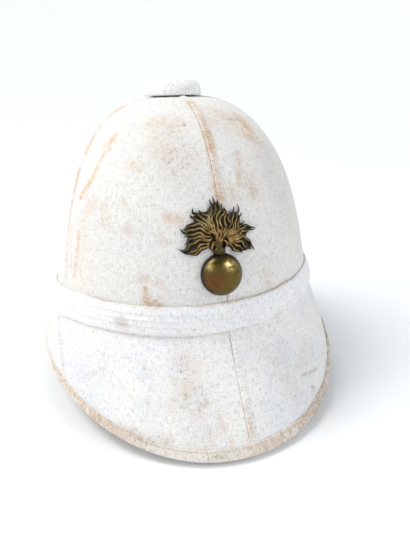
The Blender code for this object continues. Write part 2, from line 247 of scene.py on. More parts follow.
button_low, button_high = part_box("vent_button")
stem_foot = -(COVER_WALL + FIT + SHELL_WALL) - STEM_END
button_seat = skin(0, 0).z + FELL_RAISE + FIT
button_middle = (button_low[1] + button_high[1]) / 2
SET_DOWN = Vector((0, button_middle - PEAK_BACK, button_low[2] - button_seat - stem_foot))


def on_helmet(angle, row, lift=0.0):
    """Point of the finished helmet, raised above the skin by a lift."""
    return skin(angle, row) + outward(angle, row) * lift + SET_DOWN


print("set down by", [round(value * 1000, 2) for value in SET_DOWN], "mm")

# %% [markdown]
# Most materials here are built from the same few nodes, so short helpers add them: a sum, a mix, a
# noise, a soft step and a bump. They could be wired by hand in the editor, but in a file helpers keep
# each material readable. Sockets that stay constant are set on the shader itself.

# %% Node helpers
WEAR = "wear"


def start_material(name):
    """New node material; gives back the material, its tree and its shader."""
    material = bpy.data.materials.new(name)
    material.use_nodes = True
    return material, material.node_tree, material.node_tree.nodes["Principled BSDF"]


def wire(tree, socket, value):
    """Links a socket into another, or sets its value."""
    if isinstance(value, bpy.types.NodeSocket):
        tree.links.new(value, socket)
    else:
        socket.default_value = value


def calc(tree, operation, *values):
    """Math node; gives back its output."""
    node = tree.nodes.new("ShaderNodeMath")
    node.operation = operation
    for socket, value in zip(node.inputs, values):
        wire(tree, socket, value)
    return node.outputs[0]


def blend(tree, share, first, second, blend_type="MIX"):
    """Mix of two colours by a share."""
    node = tree.nodes.new("ShaderNodeMix")
    node.data_type = "RGBA"
    node.blend_type = blend_type
    wire(tree, node.inputs[0], share)
    wire(tree, node.inputs[6], first)
    wire(tree, node.inputs[7], second)
    return node.outputs[2]


def painted(tree):
    """Red, green and blue parts of a piece's wear attribute."""
    attribute = tree.nodes.new("ShaderNodeAttribute")
    attribute.attribute_name = WEAR
    channels = tree.nodes.new("ShaderNodeSeparateColor")
    tree.links.new(attribute.outputs["Color"], channels.inputs[0])
    return channels.outputs


print("helpers for a new material, a link, a sum, a mix and the", WEAR, "attribute")

# %% Noise, soft steps and bump
def grain(tree, place, scale, detail=3.0, stretch=(1, 1, 1)):
    """Noise at a number of cells to the metre, optionally stretched; gives back its value."""
    mapping = tree.nodes.new("ShaderNodeMapping")
    mapping.inputs["Scale"].default_value = stretch
    tree.links.new(place, mapping.inputs["Vector"])
    node = tree.nodes.new("ShaderNodeTexNoise")
    node.inputs["Scale"].default_value = scale
    node.inputs["Detail"].default_value = detail
    tree.links.new(mapping.outputs[0], node.inputs["Vector"])
    return node.outputs[0]


def steps(tree, value, low, high):
    """Ramp from 0 at low to 1 at high."""
    node = tree.nodes.new("ShaderNodeMapRange")
    node.interpolation_type = "SMOOTHSTEP"
    wire(tree, node.inputs["Value"], value)
    wire(tree, node.inputs["From Min"], low)
    wire(tree, node.inputs["From Max"], high)
    return node.outputs[0]


def relief(tree, shader, height, distance):
    """Bump from a height between 0 and 1 over a distance in metres."""
    node = tree.nodes.new("ShaderNodeBump")
    node.inputs["Distance"].default_value = distance
    tree.links.new(height, node.inputs["Height"])
    tree.links.new(node.outputs[0], shader.inputs["Normal"])


print("helpers for noise, soft steps and bump")

# %% [markdown]
# Whitened canvas has three layers that show: the white clay, the weave that presses through it, and
# the tan thread where the clay is gone. The wear attribute that each piece carries says where: its
# red part is rubbed tan, its green part orange scorch, its blue part dark grime. On the wearer's left
# flank of the crown and on the wearer's left side of the binding, its red and blue parts also carry
# painted shade. A photo of cloth would be quicker, but it would repeat and can't follow the seams.
# Noise breaks each layer into flecks, because clay comes off in flecks and not in smooth patches.

# %% Threads of the canvas
SLUB_SCALE = 230
SLUB_LENGTH = 5


def thread_pattern(tree, pitch):
    """Weave of a cloth, on its own flat measures, and its slubs, threads thicker than the rest."""
    cloth = tree.nodes.new("ShaderNodeUVMap").outputs[0]
    axes = tree.nodes.new("ShaderNodeSeparateXYZ")
    tree.links.new(cloth, axes.inputs[0])
    warp = calc(tree, "SINE", calc(tree, "MULTIPLY", axes.outputs[0], pi / pitch))
    weft = calc(tree, "SINE", calc(tree, "MULTIPLY", axes.outputs[1], pi / pitch))
    weave = calc(tree, "ABSOLUTE", calc(tree, "MULTIPLY", warp, weft))
    upright = steps(tree, grain(tree, cloth, SLUB_SCALE, 2, (SLUB_LENGTH, 1, 1)), 0.50, 0.72)
    level = steps(tree, grain(tree, cloth, SLUB_SCALE, 2, (1, SLUB_LENGTH, 1)), 0.50, 0.72)
    slubs = calc(tree, "ADD", calc(tree, "MULTIPLY", upright, 0.42), calc(tree, "MULTIPLY", level, 0.30))
    return weave, slubs


print("slubs at", SLUB_SCALE, "to the metre across the thread")

# %% Where the white is gone
PATCH_SCALE = 38
CLOUD_SCALE = 95
COARSE_SCALE = 330
FINE_SCALE = 900
FLECK_SPAN = 0.16


def worn_layers(tree, fleck_from):
    """Noises of a whitened cloth and the shares of its four kinds of wear, by name."""
    place = tree.nodes.new("ShaderNodeTexCoord").outputs["Object"]
    tan, scorch, grime = painted(tree)
    patches = grain(tree, place, PATCH_SCALE, 3)
    clouds = grain(tree, place, CLOUD_SCALE, 3)
    fine = grain(tree, place, FINE_SCALE, 3)
    coarse = grain(tree, place, COARSE_SCALE, 4)
    broken = calc(tree, "ADD", calc(tree, "MULTIPLY", fine, 0.5), calc(tree, "MULTIPLY", coarse, 0.5))
    tan_level = calc(tree, "MULTIPLY_ADD", tan, 0.16, broken)
    patchy = calc(tree, "MULTIPLY_ADD", steps(tree, patches, 0.42, 0.72), 0.05, tan_level)
    return {
        "patches": patches,
        "coarse": coarse,
        "broken": broken,
        "blush": calc(tree, "MULTIPLY", tan, steps(tree, clouds, 0.25, 0.75)),
        "fleck": steps(tree, patchy, fleck_from, fleck_from + FLECK_SPAN),
        "scorch": calc(tree, "MULTIPLY", scorch, steps(tree, coarse, 0.25, 0.62)),
        "grime": calc(tree, "MULTIPLY", grime, steps(tree, broken, 0.30, 0.55)),
    }


print("noises at", PATCH_SCALE, CLOUD_SCALE, COARSE_SCALE, FINE_SCALE, "to the metre")

# %% Whitened canvas
CHALK = (0.93, 0.925, 0.92, 1)
GREY_THREAD = (0.43, 0.41, 0.385, 1)
BLUSH = (0.62, 0.44, 0.29, 1)
TAN_THREAD = (0.40, 0.28, 0.175, 1)
SCORCH = (0.68, 0.37, 0.15, 1)
GRIME = (0.13, 0.105, 0.09, 1)
WEAR_COLOURS = (
    ("blush", 0.78, BLUSH), ("fleck", 0.60, TAN_THREAD), ("scorch", 0.8, SCORCH), ("grime", 1, GRIME),
)
CLOTH_BUMP = 0.00045


def make_canvas(name, clay, shade, fleck_from, pitch):
    """Whitened cloth of two close tones; flecks show where a noise rises over fleck_from."""
    material, tree, shader = start_material(name)
    weave, slubs = thread_pattern(tree, pitch)
    layers = worn_layers(tree, fleck_from)
    mottled = blend(tree, steps(tree, layers["patches"], 0.35, 0.75), (*clay, 1), (*shade, 1))
    chalk_share = calc(tree, "MULTIPLY", steps(tree, layers["coarse"], 0.30, 0.72), 0.30)
    chalky = blend(tree, chalk_share, mottled, CHALK)
    shown = blend(tree, slubs, chalky, GREY_THREAD)
    for kind, strength, colour in WEAR_COLOURS:
        shown = blend(tree, calc(tree, "MULTIPLY", layers[kind], strength), shown, colour)
    tree.links.new(shown, shader.inputs["Base Color"])
    shader.inputs["Roughness"].default_value = 0.92
    shader.inputs["Specular IOR Level"].default_value = 0.25
    shader.inputs["Sheen Weight"].default_value = 0.08
    threads = calc(tree, "MULTIPLY", slubs, 0.7)
    crumbs = calc(tree, "MULTIPLY", layers["broken"], 0.5)
    height = calc(tree, "ADD", calc(tree, "MULTIPLY", weave, 0.45), calc(tree, "ADD", threads, crumbs))
    relief(tree, shader, height, CLOTH_BUMP)
    return material


# Painted light and shade: the crown, brim, band and button are one whitened canvas, and their tones are set
# apart as the light falls on them, the crown's painted darkest and the button's lightest.
crown_canvas = make_canvas("crown_canvas", (0.79, 0.765, 0.73), (0.75, 0.735, 0.715), 0.60, 0.0009)
brim_canvas = make_canvas("brim_canvas", (0.89, 0.87, 0.845), (0.80, 0.81, 0.84), 0.60, 0.0009)
band_canvas = make_canvas("band_canvas", (0.95, 0.94, 0.94), (0.90, 0.905, 0.93), 0.64, 0.0007)
button_canvas = make_canvas("button_canvas", (0.98, 0.98, 0.98), (0.96, 0.965, 0.975), 0.68, 0.0007)
tape = make_canvas("rubbed_tape", (0.92, 0.875, 0.83), (0.87, 0.81, 0.745), 0.55, 0.0006)
thread = make_canvas("sewing_thread", (0.66, 0.56, 0.46), (0.58, 0.47, 0.37), 0.52, 0.0004)
CLOTHS = (crown_canvas, brim_canvas, band_canvas, button_canvas, tape, thread)
print("cloths:", ", ".join(cloth.name for cloth in CLOTHS))

# %% [markdown]
# Marks of use are short tables: each mark is a stroke through a few places on the skin (angle in
# degrees and row), with a width and a lift in millimetres and how much of each kind of wear it
# leaves. One wide mark, on the wearer's left flank of the crown, is painted shade. A vertex takes
# the strongest stroke near it. They could be painted by hand, but strokes keep the file small and
# the marks easy to move.

# %% Marks on the wearer's right of the crown
Mark = namedtuple("Mark", "what width stroke tan scorch grime lift", defaults=(0, 0, 0, 0))
MARKS = [
    Mark("upper side seam", 2.6, ((-71.6, 0.17), (-74.8, 0.234), (-76.5, 0.293), (-74.3, 0.364),
         (-73, 0.43)), tan=0.8, scorch=0.75),
    Mark("side seam", 2.0, ((-74.1, 0.5), (-73, 0.549), (-73, 0.6)), tan=0.8, scorch=0.85),
    Mark("lower side seam", 2.2, ((-73.4, 0.63), (-74.3, 0.73), (-75, 1.0)), tan=0.8, scorch=0.5),
    Mark("crease", 2.4, ((-52.6, 0.345), (-53.9, 0.407), (-57.7, 0.472),
         (-58.3, 0.521)), tan=0.6, scorch=0.6, lift=0.5),
    Mark("crease end", 2.6, ((-58.3, 0.521), (-62.5, 0.571),
         (-65.5, 0.604)), tan=0.8, scorch=0.9, lift=0.4),
    Mark("pale patch", 5, ((-56.9, 0.398), (-53.2, 0.37)), tan=0.45, scorch=0.2),
    Mark("pale patch", 4.5, ((-37.7, 0.466), (-32.4, 0.473)), tan=0.5, scorch=0.2),
    Mark("pale patch", 6, ((-59.1, 0.644), (-54.7, 0.625)), tan=0.4, scorch=0.2),
    Mark("pale patch", 6, ((-48.5, 0.631), (-47.2, 0.685)), tan=0.35, scorch=0.12),
    Mark("spot", 3.5, ((-40.0, 0.604), (-38.5, 0.61)), tan=0.55, scorch=0.1),
    Mark("upper patch", 9, ((-25.4, 0.28), (-13.2, 0.271)), tan=0.55, scorch=0.16),
    Mark("speckle", 16, ((-22.2, 0.368), (-14.5, 0.454)), tan=0.42, grime=0.08),
    Mark("dot", 1.4, ((-9.2, 0.29), (-9.1, 0.294)), grime=0.7),
    Mark("brown patch", 4.5, ((-20.2, 0.654), (-15.6, 0.659)), tan=0.75, scorch=0.1),
    Mark("brown spot", 4, ((-22.0, 0.709), (-22.1, 0.734)), tan=0.6),
    Mark("brown spot", 4, ((-37.0, 0.694), (-36.4, 0.7)), tan=0.55, grime=0.1),
    Mark("low spot", 3.2, ((-31.2, 0.872), (-28.9, 0.869)), tan=0.7),
    Mark("low run", 2.8, ((-29.7, 0.913), (-29.5, 0.95)), tan=0.95, scorch=0.15),
    Mark("low run", 4.2, ((-29.6, 0.955), (-28.6, 0.985), (-25.0, 0.995)), tan=1.1, scorch=0.2, grime=0.1),
    Mark("low hook", 2.2, ((-25.5, 0.89), (-23.9, 0.872), (-23.0, 0.9)), tan=0.5),
    Mark("side run", 3, ((-63.4, 0.74), (-64.5, 0.817), (-65.5, 0.87),
         (-66.1, 0.928)), tan=0.6, scorch=0.5),
    Mark("side run", 3, ((-70.5, 0.725), (-69.5, 0.878)), tan=0.5, scorch=0.25),
    Mark("flank blush", 14, ((-62.0, 0.62), (-60.0, 0.92)), tan=0.25, scorch=0.05),
]
print(len(MARKS), "marks on the wearer's right of the crown")

# %% Marks on the seam and the wearer's left of the crown
MARKS += [
    Mark("top blush", 8, ((5.0, 0.2), (20.0, 0.23)), tan=0.42, scorch=0.22),
    Mark("seam end", 0.9, ((0.5, 0.94), (0.4, 0.995)), grime=0.95),
    Mark("front seam", 3.4, ((1.6, 0.12), (2.2, 0.25), (1.8, 0.35), (1.4, 0.44)), tan=0.95, scorch=0.35),
    Mark("front seam", 3.6, ((2.0, 0.33), (1.9, 0.386), (1.3, 0.42)), tan=1.2, scorch=0.55),
    Mark("front seam", 3, ((0.9, 0.44), (0.6, 0.553)), tan=0.8, scorch=0.3),
    Mark("front seam", 4.5, ((0.6, 0.553), (0.6, 0.6)), tan=0.9, scorch=0.4),
    Mark("upper patch", 14, ((12.1, 0.264), (26.0, 0.297), (33.9, 0.392)), tan=0.5, scorch=0.08),
    Mark("upper patch", 9, ((35.4, 0.278), (30.9, 0.374)), tan=0.95, scorch=0.34),
    Mark("upper streak", 4, ((22.1, 0.282), (35.4, 0.278)), tan=0.85, scorch=0.2, grime=0.05),
    Mark("streak", 3.4, ((15.2, 0.431), (10.6, 0.555)), tan=0.6, scorch=0.1),
    Mark("spot", 4.5, ((7.2, 0.56), (7.0, 0.59)), tan=0.75, scorch=0.15),
    Mark("spot", 6, ((16.7, 0.54), (16.5, 0.6)), tan=0.65, scorch=0.1),
    # Painted shade: a wide, faint darkening of the wearer's left flank of the crown.
    Mark("painted flank shade", 16, ((33.0, 0.5), (37.0, 0.72)), tan=0.14, grime=0.07),
    Mark("low speckle", 6, ((17.0, 0.896), (17.8, 0.958)), tan=0.5),
]
print(len(MARKS), "marks with those on the seam and the wearer's left")

# %% Marks on the band and the brim
MARKS += [
    Mark("band smudge", 4.2, ((-39.6, 1.62), (-37.6, 1.65)), tan=1.0, scorch=0.12, grime=0.34),
    Mark("band smudge", 2.4, ((-36.0, 1.61), (-31.5, 1.56)), tan=0.7, grime=0.26),
    Mark("band smudge", 2.4, ((-32.7, 1.723), (-23.8, 1.753)), tan=0.4, grime=0.04),
    Mark("band patch", 3.4, ((20.7, 1.87), (26.7, 1.83)), tan=0.85, grime=0.08),
    Mark("band patch", 2.4, ((29.5, 1.76), (31.0, 1.75)), tan=0.9, grime=0.26),
    Mark("band spot", 2.2, ((37.2, 1.79), (38.2, 1.83)), tan=0.9, scorch=0.3, grime=0.34),
    Mark("band top patch", 2.2, ((24.0, 1.04), (29.0, 1.03)), tan=0.9, scorch=0.2),
    Mark("brim spot", 4, ((-15.9, 2.414), (-14.7, 2.478), (-13.5, 2.542)), tan=0.75, scorch=0.12),
    Mark("brim speckle", 12, ((-17.6, 2.238), (-19.9, 2.494)), tan=0.42, grime=0.05),
    Mark("brim blush", 17, ((-20.1, 2.604), (-15.7, 2.782)), tan=0.22, scorch=0.07),
    Mark("brim speckle", 15, ((18.0, 2.35), (24.0, 2.62), (36.0, 2.5)), tan=0.14, grime=0.1),
    Mark("brim streak", 1.7, ((30.0, 2.616), (41.2, 2.723)), tan=0.2, grime=0.55),
    Mark("brim dot", 2.2, ((35.3, 2.8), (35.8, 2.82)), tan=0.3, grime=0.5),
    Mark("brim dot", 1.6, ((-33.2, 2.285), (-33.1, 2.29)), grime=0.35),
    Mark("brim streak", 2.2, ((-59.8, 2.564), (-50.6, 2.41)), tan=0.2, grime=0.1),
    Mark("brim streak", 2, ((-35.9, 2.381), (-31.2, 2.327)), tan=0.25, grime=0.08),
    Mark("brim seam", 3, ((1.0, 2.6), (0.8, 2.87)), tan=0.6, scorch=0.16),
    Mark("brim crease", 2.2, ((-9.7, 2.596), (-9.0, 2.715), (-7.5, 2.82),
         (-6.6, 2.916)), tan=0.5, scorch=0.1, lift=0.3),
    Mark("rim speckle", 5, ((-46, 2.9), (-43.2, 2.9), (-35.9, 2.89), (-29.1, 2.86)), tan=0.5, grime=0.12),
]
print(len(MARKS), "marks with those on the band and the brim")

# %% Marks behind and on the flanks
MARKS += [
    Mark("left side seam", 2.4, ((77, 0.15), (77, 0.5)), tan=0.5, scorch=0.2),
    Mark("rear seam", 2.6, ((181, 0.12), (181, 0.6)), tan=0.55, scorch=0.15),
    Mark("rear patch", 15, ((150, 0.26), (166, 0.34), (172, 0.45)), tan=0.45, scorch=0.08),
    Mark("rear patch", 13, ((212, 0.5), (222, 0.7)), tan=0.4),
    Mark("left patch", 12, ((100, 0.3), (112, 0.42)), tan=0.4, scorch=0.05),
    Mark("right patch", 12, ((246, 0.35), (255, 0.55)), tan=0.4),
    Mark("rear brim spot", 7, ((200, 2.4), (207, 2.6)), tan=0.5),
    Mark("rear brim blush", 16, ((140, 2.5), (160, 2.7)), tan=0.3, scorch=0.04),
]
print(len(MARKS), "marks in all:", ", ".join(sorted({mark.what for mark in MARKS})))

# %% Wear from the marks
STROKE_STEPS = 8
MARK_REACH = 3
MARK_FALL = 1.4


def stroke_points(mark):
    """Places along a stroke, close together, as points on the finished helmet."""
    places = []
    for (angle, row), (next_angle, next_row) in zip(mark.stroke, mark.stroke[1:]):
        for step in range(STROKE_STEPS + 1):
            share = step / STROKE_STEPS
            at = radians(angle + (next_angle - angle) * share)
            places.append(on_helmet(at, row + (next_row - row) * share))
    return np.array(places)


STROKES = [stroke_points(mark) for mark in MARKS]


def wear_at(points):
    """Wear of each point as three columns (tan, scorch, grime), and how far its mark lifts it in metres."""
    wear = np.zeros((len(points), 3))
    lift = np.zeros(len(points))
    for mark, places in zip(MARKS, STROKES):
        reach = mark.width / 1000
        low, high = places.min(axis=0) - MARK_REACH * reach, places.max(axis=0) + MARK_REACH * reach
        near = np.flatnonzero(((points > low) & (points < high)).all(axis=1))
        if not len(near):
            continue
        gaps = np.linalg.norm(points[near, None, :] - places[None, :, :], axis=2).min(axis=1)
        weight = np.exp(-((gaps / reach) ** 2) * MARK_FALL)
        for column, amount in enumerate((mark.tan, mark.scorch, mark.grime)):
            wear[near, column] = np.maximum(wear[near, column], weight * amount)
        lift[near] = np.maximum(lift[near], weight * mark.lift / 1000)
    return wear, lift


print("strokes of", sum(len(places) for places in STROKES), "places")

# %% [markdown]
# Every dressed piece is finished in the same way: its bmesh becomes a mesh at the origin, takes a
# material, gets its wear, rides on the one body and stands for the solid that it covers. A sheet
# gets its thickness from a Solidify modifier, which is simpler than modelling both faces.

# %% Finish a piece
def store_wear(mesh, wear):
    """Writes the wear of each vertex as a colour attribute."""
    attribute = mesh.attributes.new(WEAR, "FLOAT_COLOR", "POINT")
    values = np.ones((len(mesh.vertices), 4))
    values[:, :3] = np.clip(wear, 0, 1)
    attribute.data.foreach_set("color", values.ravel())


def add_piece(name, bm, material, node=None, wall=0.0, extra_wear=None, marked=True):
    """Piece of the helmet from a bmesh; a wall thickens a sheet inwards, and marks reach it if marked."""
    mesh = bpy.data.meshes.new(name)
    bm.to_mesh(mesh)
    bm.free()
    mesh.materials.append(material)
    mesh.shade_smooth()
    points = np.array([vertex.co for vertex in mesh.vertices])
    wear = wear_at(points)[0] if marked else np.zeros((len(points), 3))
    if extra_wear is not None:
        wear = np.maximum(wear, extra_wear(points))
    store_wear(mesh, wear)
    piece = bpy.data.objects.new(name, mesh)
    bpy.context.scene.collection.objects.link(piece)
    if wall:
        thick = piece.modifiers.new("wall", "SOLIDIFY")
        thick.thickness = wall
        thick.offset = -1
    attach(piece, "root")
    if node:
        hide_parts(node)
    print(f"{name}: {len(mesh.polygons)} faces")
    return piece


# %% [markdown]
# The cover is eight pieces of canvas, four on the crown and four on the brim, meeting on felled
# seams: one edge is folded over the other and sewn down, which leaves a raised strip beside the
# joint. Each piece starts as a flat grid, as the canvas was, and is laid over the skin. It could be
# draped by simulation, but this cloth is stretched tight over a stiff body and has no free folds.

# %% Panels and their seams
SIDE_SEAM = radians(75.5)
PANELS = {
    "front_left": (0, SIDE_SEAM),
    "back_left": (SIDE_SEAM, pi),
    "back_right": (pi, 2 * pi - SIDE_SEAM),
    "front_right": (2 * pi - SIDE_SEAM, 2 * pi),
}
ROW_STEPS = 200


def angle_beside(seam, row, distance):
    """Angle whose skin point lies a distance beside a seam, on its left."""
    turn = distance / max(hypot(*skin(seam, row).xy), VENT_RADIUS)
    for _ in range(4):
        turn *= distance / (skin(seam + turn, row) - skin(seam, row)).length
    return seam + turn


def even_rows(angle, first, last, size):
    """Shares from 0 to 1 that split the way down between two rows into even lengths of about a size."""
    fine = [on_helmet(angle, first + (last - first) * step / ROW_STEPS) for step in range(ROW_STEPS + 1)]
    run = [0.0]
    for point, following in zip(fine, fine[1:]):
        run.append(run[-1] + (following - point).length)
    count = round(run[-1] / size)
    shares = np.interp(np.linspace(0, run[-1], count + 1), run, np.linspace(0, 1, ROW_STEPS + 1))
    return [float(share) for share in shares]


print("seams at", [round(first * 180 / pi, 1) for first, _ in PANELS.values()], "degrees")

# %% Felled seam and its puckers
FELL_WIDTH = 0.0045
FELL_ROLL = 0.0006
FELL_FALL_FROM = 0.0005
FELL_FALL = 0.0007
FELL_BULGE = 0.00025
STITCH_INSET = 0.0012
GROOVE_WIDTH = 0.0007
GROOVE_DEPTH = 0.00022
OVER_STRIP_SHARE = 0.6
PUCKER_REACH = 0.014
PUCKER_PITCH = 0.0085
PUCKER_HEIGHT = 0.00016


def fell_profile(distance):
    """Height of the felled strip at a distance from its seam: rolled edges and a line of stitching."""
    if distance > FELL_WIDTH + FELL_ROLL:
        return 0.0
    edge_in = min(1, distance / FELL_ROLL)
    edge_out = min(1, max(0, (FELL_WIDTH + FELL_FALL_FROM - distance) / FELL_FALL))
    rise = sin(edge_in * pi / 2) * edge_out * edge_out * (3 - 2 * edge_out)
    groove = max(0, 1 - abs(distance - (FELL_WIDTH - STITCH_INSET)) / GROOVE_WIDTH) * GROOVE_DEPTH
    return (FELL_RAISE + FELL_BULGE * sin(pi * min(1, distance / FELL_WIDTH))) * rise - groove


def over_strip(angle, row):
    """Extra height where a band or tape crosses the felled strip of a seam."""
    radius = hypot(*skin(angle, row).xy)
    distance = min((angle - seam) % (2 * pi) for seam, _ in PANELS.values()) * radius
    return OVER_STRIP_SHARE * fell_profile(distance)


def pucker(distance, along):
    """Small gathers beside a line of stitches: they die away within a finger's width."""
    fade = max(0, 1 - distance / PUCKER_REACH) ** 2
    ripple = sin(along * 2 * pi / PUCKER_PITCH + 3 * noise.noise(Vector((along * 60, 0, 7))))
    return PUCKER_HEIGHT * fade * ripple


print("felled strip", FELL_WIDTH, "m wide,", round(fell_profile(FELL_WIDTH / 2), 5), "m high in the middle")

# %% [markdown]
# The cells of a panel's grid are a little over a millimetre. Its first columns keep fixed distances
# from the seam, so the felled strip has one width from top to bottom, and the other columns share
# out the rest. The flat measures of the cloth are kept as a UV map, so the weave isn't stretched.

# %% Place of a point of the cloth
CELL = 0.0013
SEAM_GAP = 0.00004
FELL_COLUMNS = (
    0.00002, 0.0003, 0.0007, 0.0013, 0.0019, 0.0026, 0.0033, 0.0038, 0.0042, 0.0045, 0.0048, 0.0053, 0.0062,
)
BROAD_WAVES = 34
SMALL_WAVES = 95


def angle_of_column(panel, row, column, regular):
    """Angle of a column: at its own distance beside the seam, or one of the regular ones up to the next."""
    first, last = PANELS[panel]
    start = angle_beside(first, row, FELL_COLUMNS[min(column, len(FELL_COLUMNS) - 1)])
    if column < len(FELL_COLUMNS):
        return start
    end = last - SEAM_GAP / max(hypot(*skin(last, row).xy), VENT_RADIUS)
    return start + (end - start) * (column - len(FELL_COLUMNS) + 1) / regular


def cloth_lift(place, from_first, from_last, along, unevenness):
    """Height of the cloth over the skin: its felled strip, its puckers and its own unevenness."""
    lift = fell_profile(from_first)
    lift += pucker(min(from_first, from_last), along)
    broad = 0.5 + 0.5 * noise.noise(place * BROAD_WAVES)
    lift += unevenness * broad + 0.3 * unevenness * noise.noise(place * SMALL_WAVES)
    return lift


def store_flat(bm, flat):
    """Writes the flat measures of the cloth as a UV map."""
    layer = bm.loops.layers.uv.new("cloth")
    for face in bm.faces:
        for loop in face.loops:
            loop[layer].uv = flat[loop.vert.index]


print(len(FELL_COLUMNS), "columns over each felled strip")

# %% Lay a panel
EXTRA_COLUMNS = 1.12


def lay_cloth(panel, top_row, end_row, unevenness):
    """Grid of cloth between two seams, from one row to another; gives back the bmesh."""
    first, last = PANELS[panel]
    middle = (first + last) / 2

    def row_at(angle, share):
        """Row at a share of the way down."""
        return top_row(angle) + (end_row(angle) - top_row(angle)) * share

    shares = even_rows(middle, top_row(middle), end_row(middle), CELL)
    centre = [skin(middle, row_at(middle, share)) for share in shares]
    drop = [0.0]
    for point, following in zip(centre, centre[1:]):
        drop.append(drop[-1] + (following - point).length)
    waist = 0.5 * (top_row(middle) + end_row(middle))
    halves = [(skin(side, waist) - skin(middle, waist)).length for side in (last, first)]
    regular = round(sum(halves) * EXTRA_COLUMNS / CELL)
    columns = len(FELL_COLUMNS) - 1 + regular
    bm = bmesh.new()
    bmesh.ops.create_grid(bm, x_segments=columns, y_segments=len(shares) - 1, size=0.5)
    bm.verts.index_update()
    flat = {}
    places = []
    for vertex in bm.verts:
        number = round((vertex.co.y + 0.5) * (len(shares) - 1))
        column = round((vertex.co.x + 0.5) * columns)
        angle = angle_of_column(panel, row_at(middle, shares[number]), column, regular)
        row = row_at(angle, shares[number])
        point = skin(angle, row)
        from_first = (point - skin(first, row)).length
        from_last = (point - skin(last, row)).length
        place = point + SET_DOWN
        lift = cloth_lift(place, from_first, from_last, drop[number], unevenness)
        places.append((place, outward(angle, row), lift))
        side = 1 if angle > middle else -1
        flat[vertex.index] = (side * (point - skin(middle, row)).length, drop[number])
    _, mark_lift = wear_at(np.array([place for place, _, _ in places]))
    for vertex, (place, square, lift), extra in zip(bm.verts, places, mark_lift):
        vertex.co = place + square * (lift + float(extra))
    store_flat(bm, flat)
    bm.normal_update()
    bm.faces.ensure_lookup_table()
    sample = bm.faces[len(bm.faces) // 2]
    if sample.normal.dot(places[sample.verts[0].index][1]) < 0:
        bmesh.ops.reverse_faces(bm, faces=bm.faces)
    return bm


print("cells of", CELL, "m")

# %% [markdown]
# The crown cloth runs from the ventilator button down to the middle of the hat band, which hides
# where it ends. It could stop at the band's upper edge, but then any gap under the edge would show
# bare pith.

# %% Crown cloth
BAND_MIDDLE_ROW = 1.5
HALF_GAP_ROW = FIT / 2 / BAND_HEIGHT
CLOTH_THICKNESS = COVER_WALL * 0.9
CROWN_UNEVENNESS = 0.0005
for panel in PANELS:
    cover = lay_cloth(panel, lambda angle: 0, lambda angle: BAND_MIDDLE_ROW - HALF_GAP_ROW, CROWN_UNEVENNESS)
    add_piece(f"crown_cloth_{panel}", cover, crown_canvas, f"crown_panel_{panel}", CLOTH_THICKNESS)

# %% [markdown]
# The brim cloth takes over under the band and ends inside the fold of the binding. It lies flatter
# than that of the crown, because the brim curves one way only and the cloth is drawn tight over it.

# %% Brim cloth
BRIM_UNEVENNESS = 0.0003


def brim_end(angle):
    """Row where the brim cloth ends, inside the binding."""
    return short_of_rim(angle, BINDING_WALL + FIT)


for panel in PANELS:
    cover = lay_cloth(panel, lambda angle: BAND_MIDDLE_ROW + HALF_GAP_ROW, brim_end, BRIM_UNEVENNESS)
    add_piece(f"brim_cloth_{panel}", cover, brim_canvas, f"brim_panel_{panel}", CLOTH_THICKNESS)

# %% [markdown]
# The hat band is one long strip with both edges rolled under, laid in shallow pleats. It could be a
# flat strip with a bump for its folds, but the folds show at its outline and cast fine shadows. Its
# section is drawn once and carried round the helmet: a grid whose two directions are the section and
# the way round, closed both ways.

# %% Section of the hat band
BAND_EDGE = 0.0020
BAND_FULLNESS = 0.0008
BAND_ROLL = 0.0011
BAND_PLEATS = 4
ROLL_STEPS = 7
PLEAT_STEPS = 5
PLEAT_RISE = 0.0004
PLEAT_TUCK = 0.0003
TURNED_IN = 0.0010
OFF_SKIN = 0.0001


def band_section():
    """Closed section of the band: distances down from its top edge and out from the skin, in metres."""
    last = BAND_HEIGHT - FIT
    pleat = (last - 4 * BAND_ROLL) / BAND_PLEATS
    turns = [pi * step / ROLL_STEPS for step in range(ROLL_STEPS + 1)]
    section = [(TURNED_IN, OFF_SKIN)]
    section += [(BAND_ROLL - BAND_ROLL * sin(turn), BAND_EDGE / 2 * (1 - cos(turn))) for turn in turns]
    for number in range(BAND_PLEATS):
        for step in range(PLEAT_STEPS):
            along = number + step / PLEAT_STEPS
            fold = PLEAT_RISE * step / PLEAT_STEPS - (PLEAT_TUCK if step == 0 and number else 0)
            bulge = BAND_FULLNESS * sin(pi * (along / BAND_PLEATS)) ** 0.5
            section.append((2 * BAND_ROLL + pleat * along, BAND_EDGE + bulge + fold))
    section += [(last - BAND_ROLL + BAND_ROLL * sin(turn), BAND_EDGE / 2 * (1 + cos(turn))) for turn in turns]
    section.append((last - TURNED_IN, OFF_SKIN))
    return section


print("band section:", len(band_section()), "points")

# %% Carry a section round the helmet
STATIONS = 420
MEAN_RADIUS = 0.105
MERGE = 1e-6


def carry_round(section, place):
    """Closed ring: a section carried round the helmet, with its flat measures kept as a UV map."""
    measures = [0.0]
    for (down, out), (next_down, next_out) in zip(section, section[1:]):
        measures.append(measures[-1] + hypot(down - next_down, out - next_out))
    measures.append(measures[-1])
    bm = bmesh.new()
    bmesh.ops.create_grid(bm, x_segments=STATIONS, y_segments=len(section), size=0.5)
    bm.verts.index_update()
    down_layer = bm.verts.layers.float.new("down")
    flat = {}
    for vertex in bm.verts:
        turn = 2 * pi * (vertex.co.x + 0.5)
        number = round((vertex.co.y + 0.5) * len(section))
        flat[vertex.index] = (turn * MEAN_RADIUS, measures[number])
        vertex[down_layer] = section[number % len(section)][0]
        vertex.co = place(turn, section[number % len(section)])
    store_flat(bm, flat)
    bmesh.ops.remove_doubles(bm, verts=bm.verts, dist=MERGE)
    bmesh.ops.recalc_face_normals(bm, faces=bm.faces)
    if bm.calc_volume(signed=True) < 0:
        bmesh.ops.reverse_faces(bm, faces=bm.faces)
    return bm


print(STATIONS, "stations round the helmet")

# %% Hat band
EDGE_RUB_REACH = 0.0022


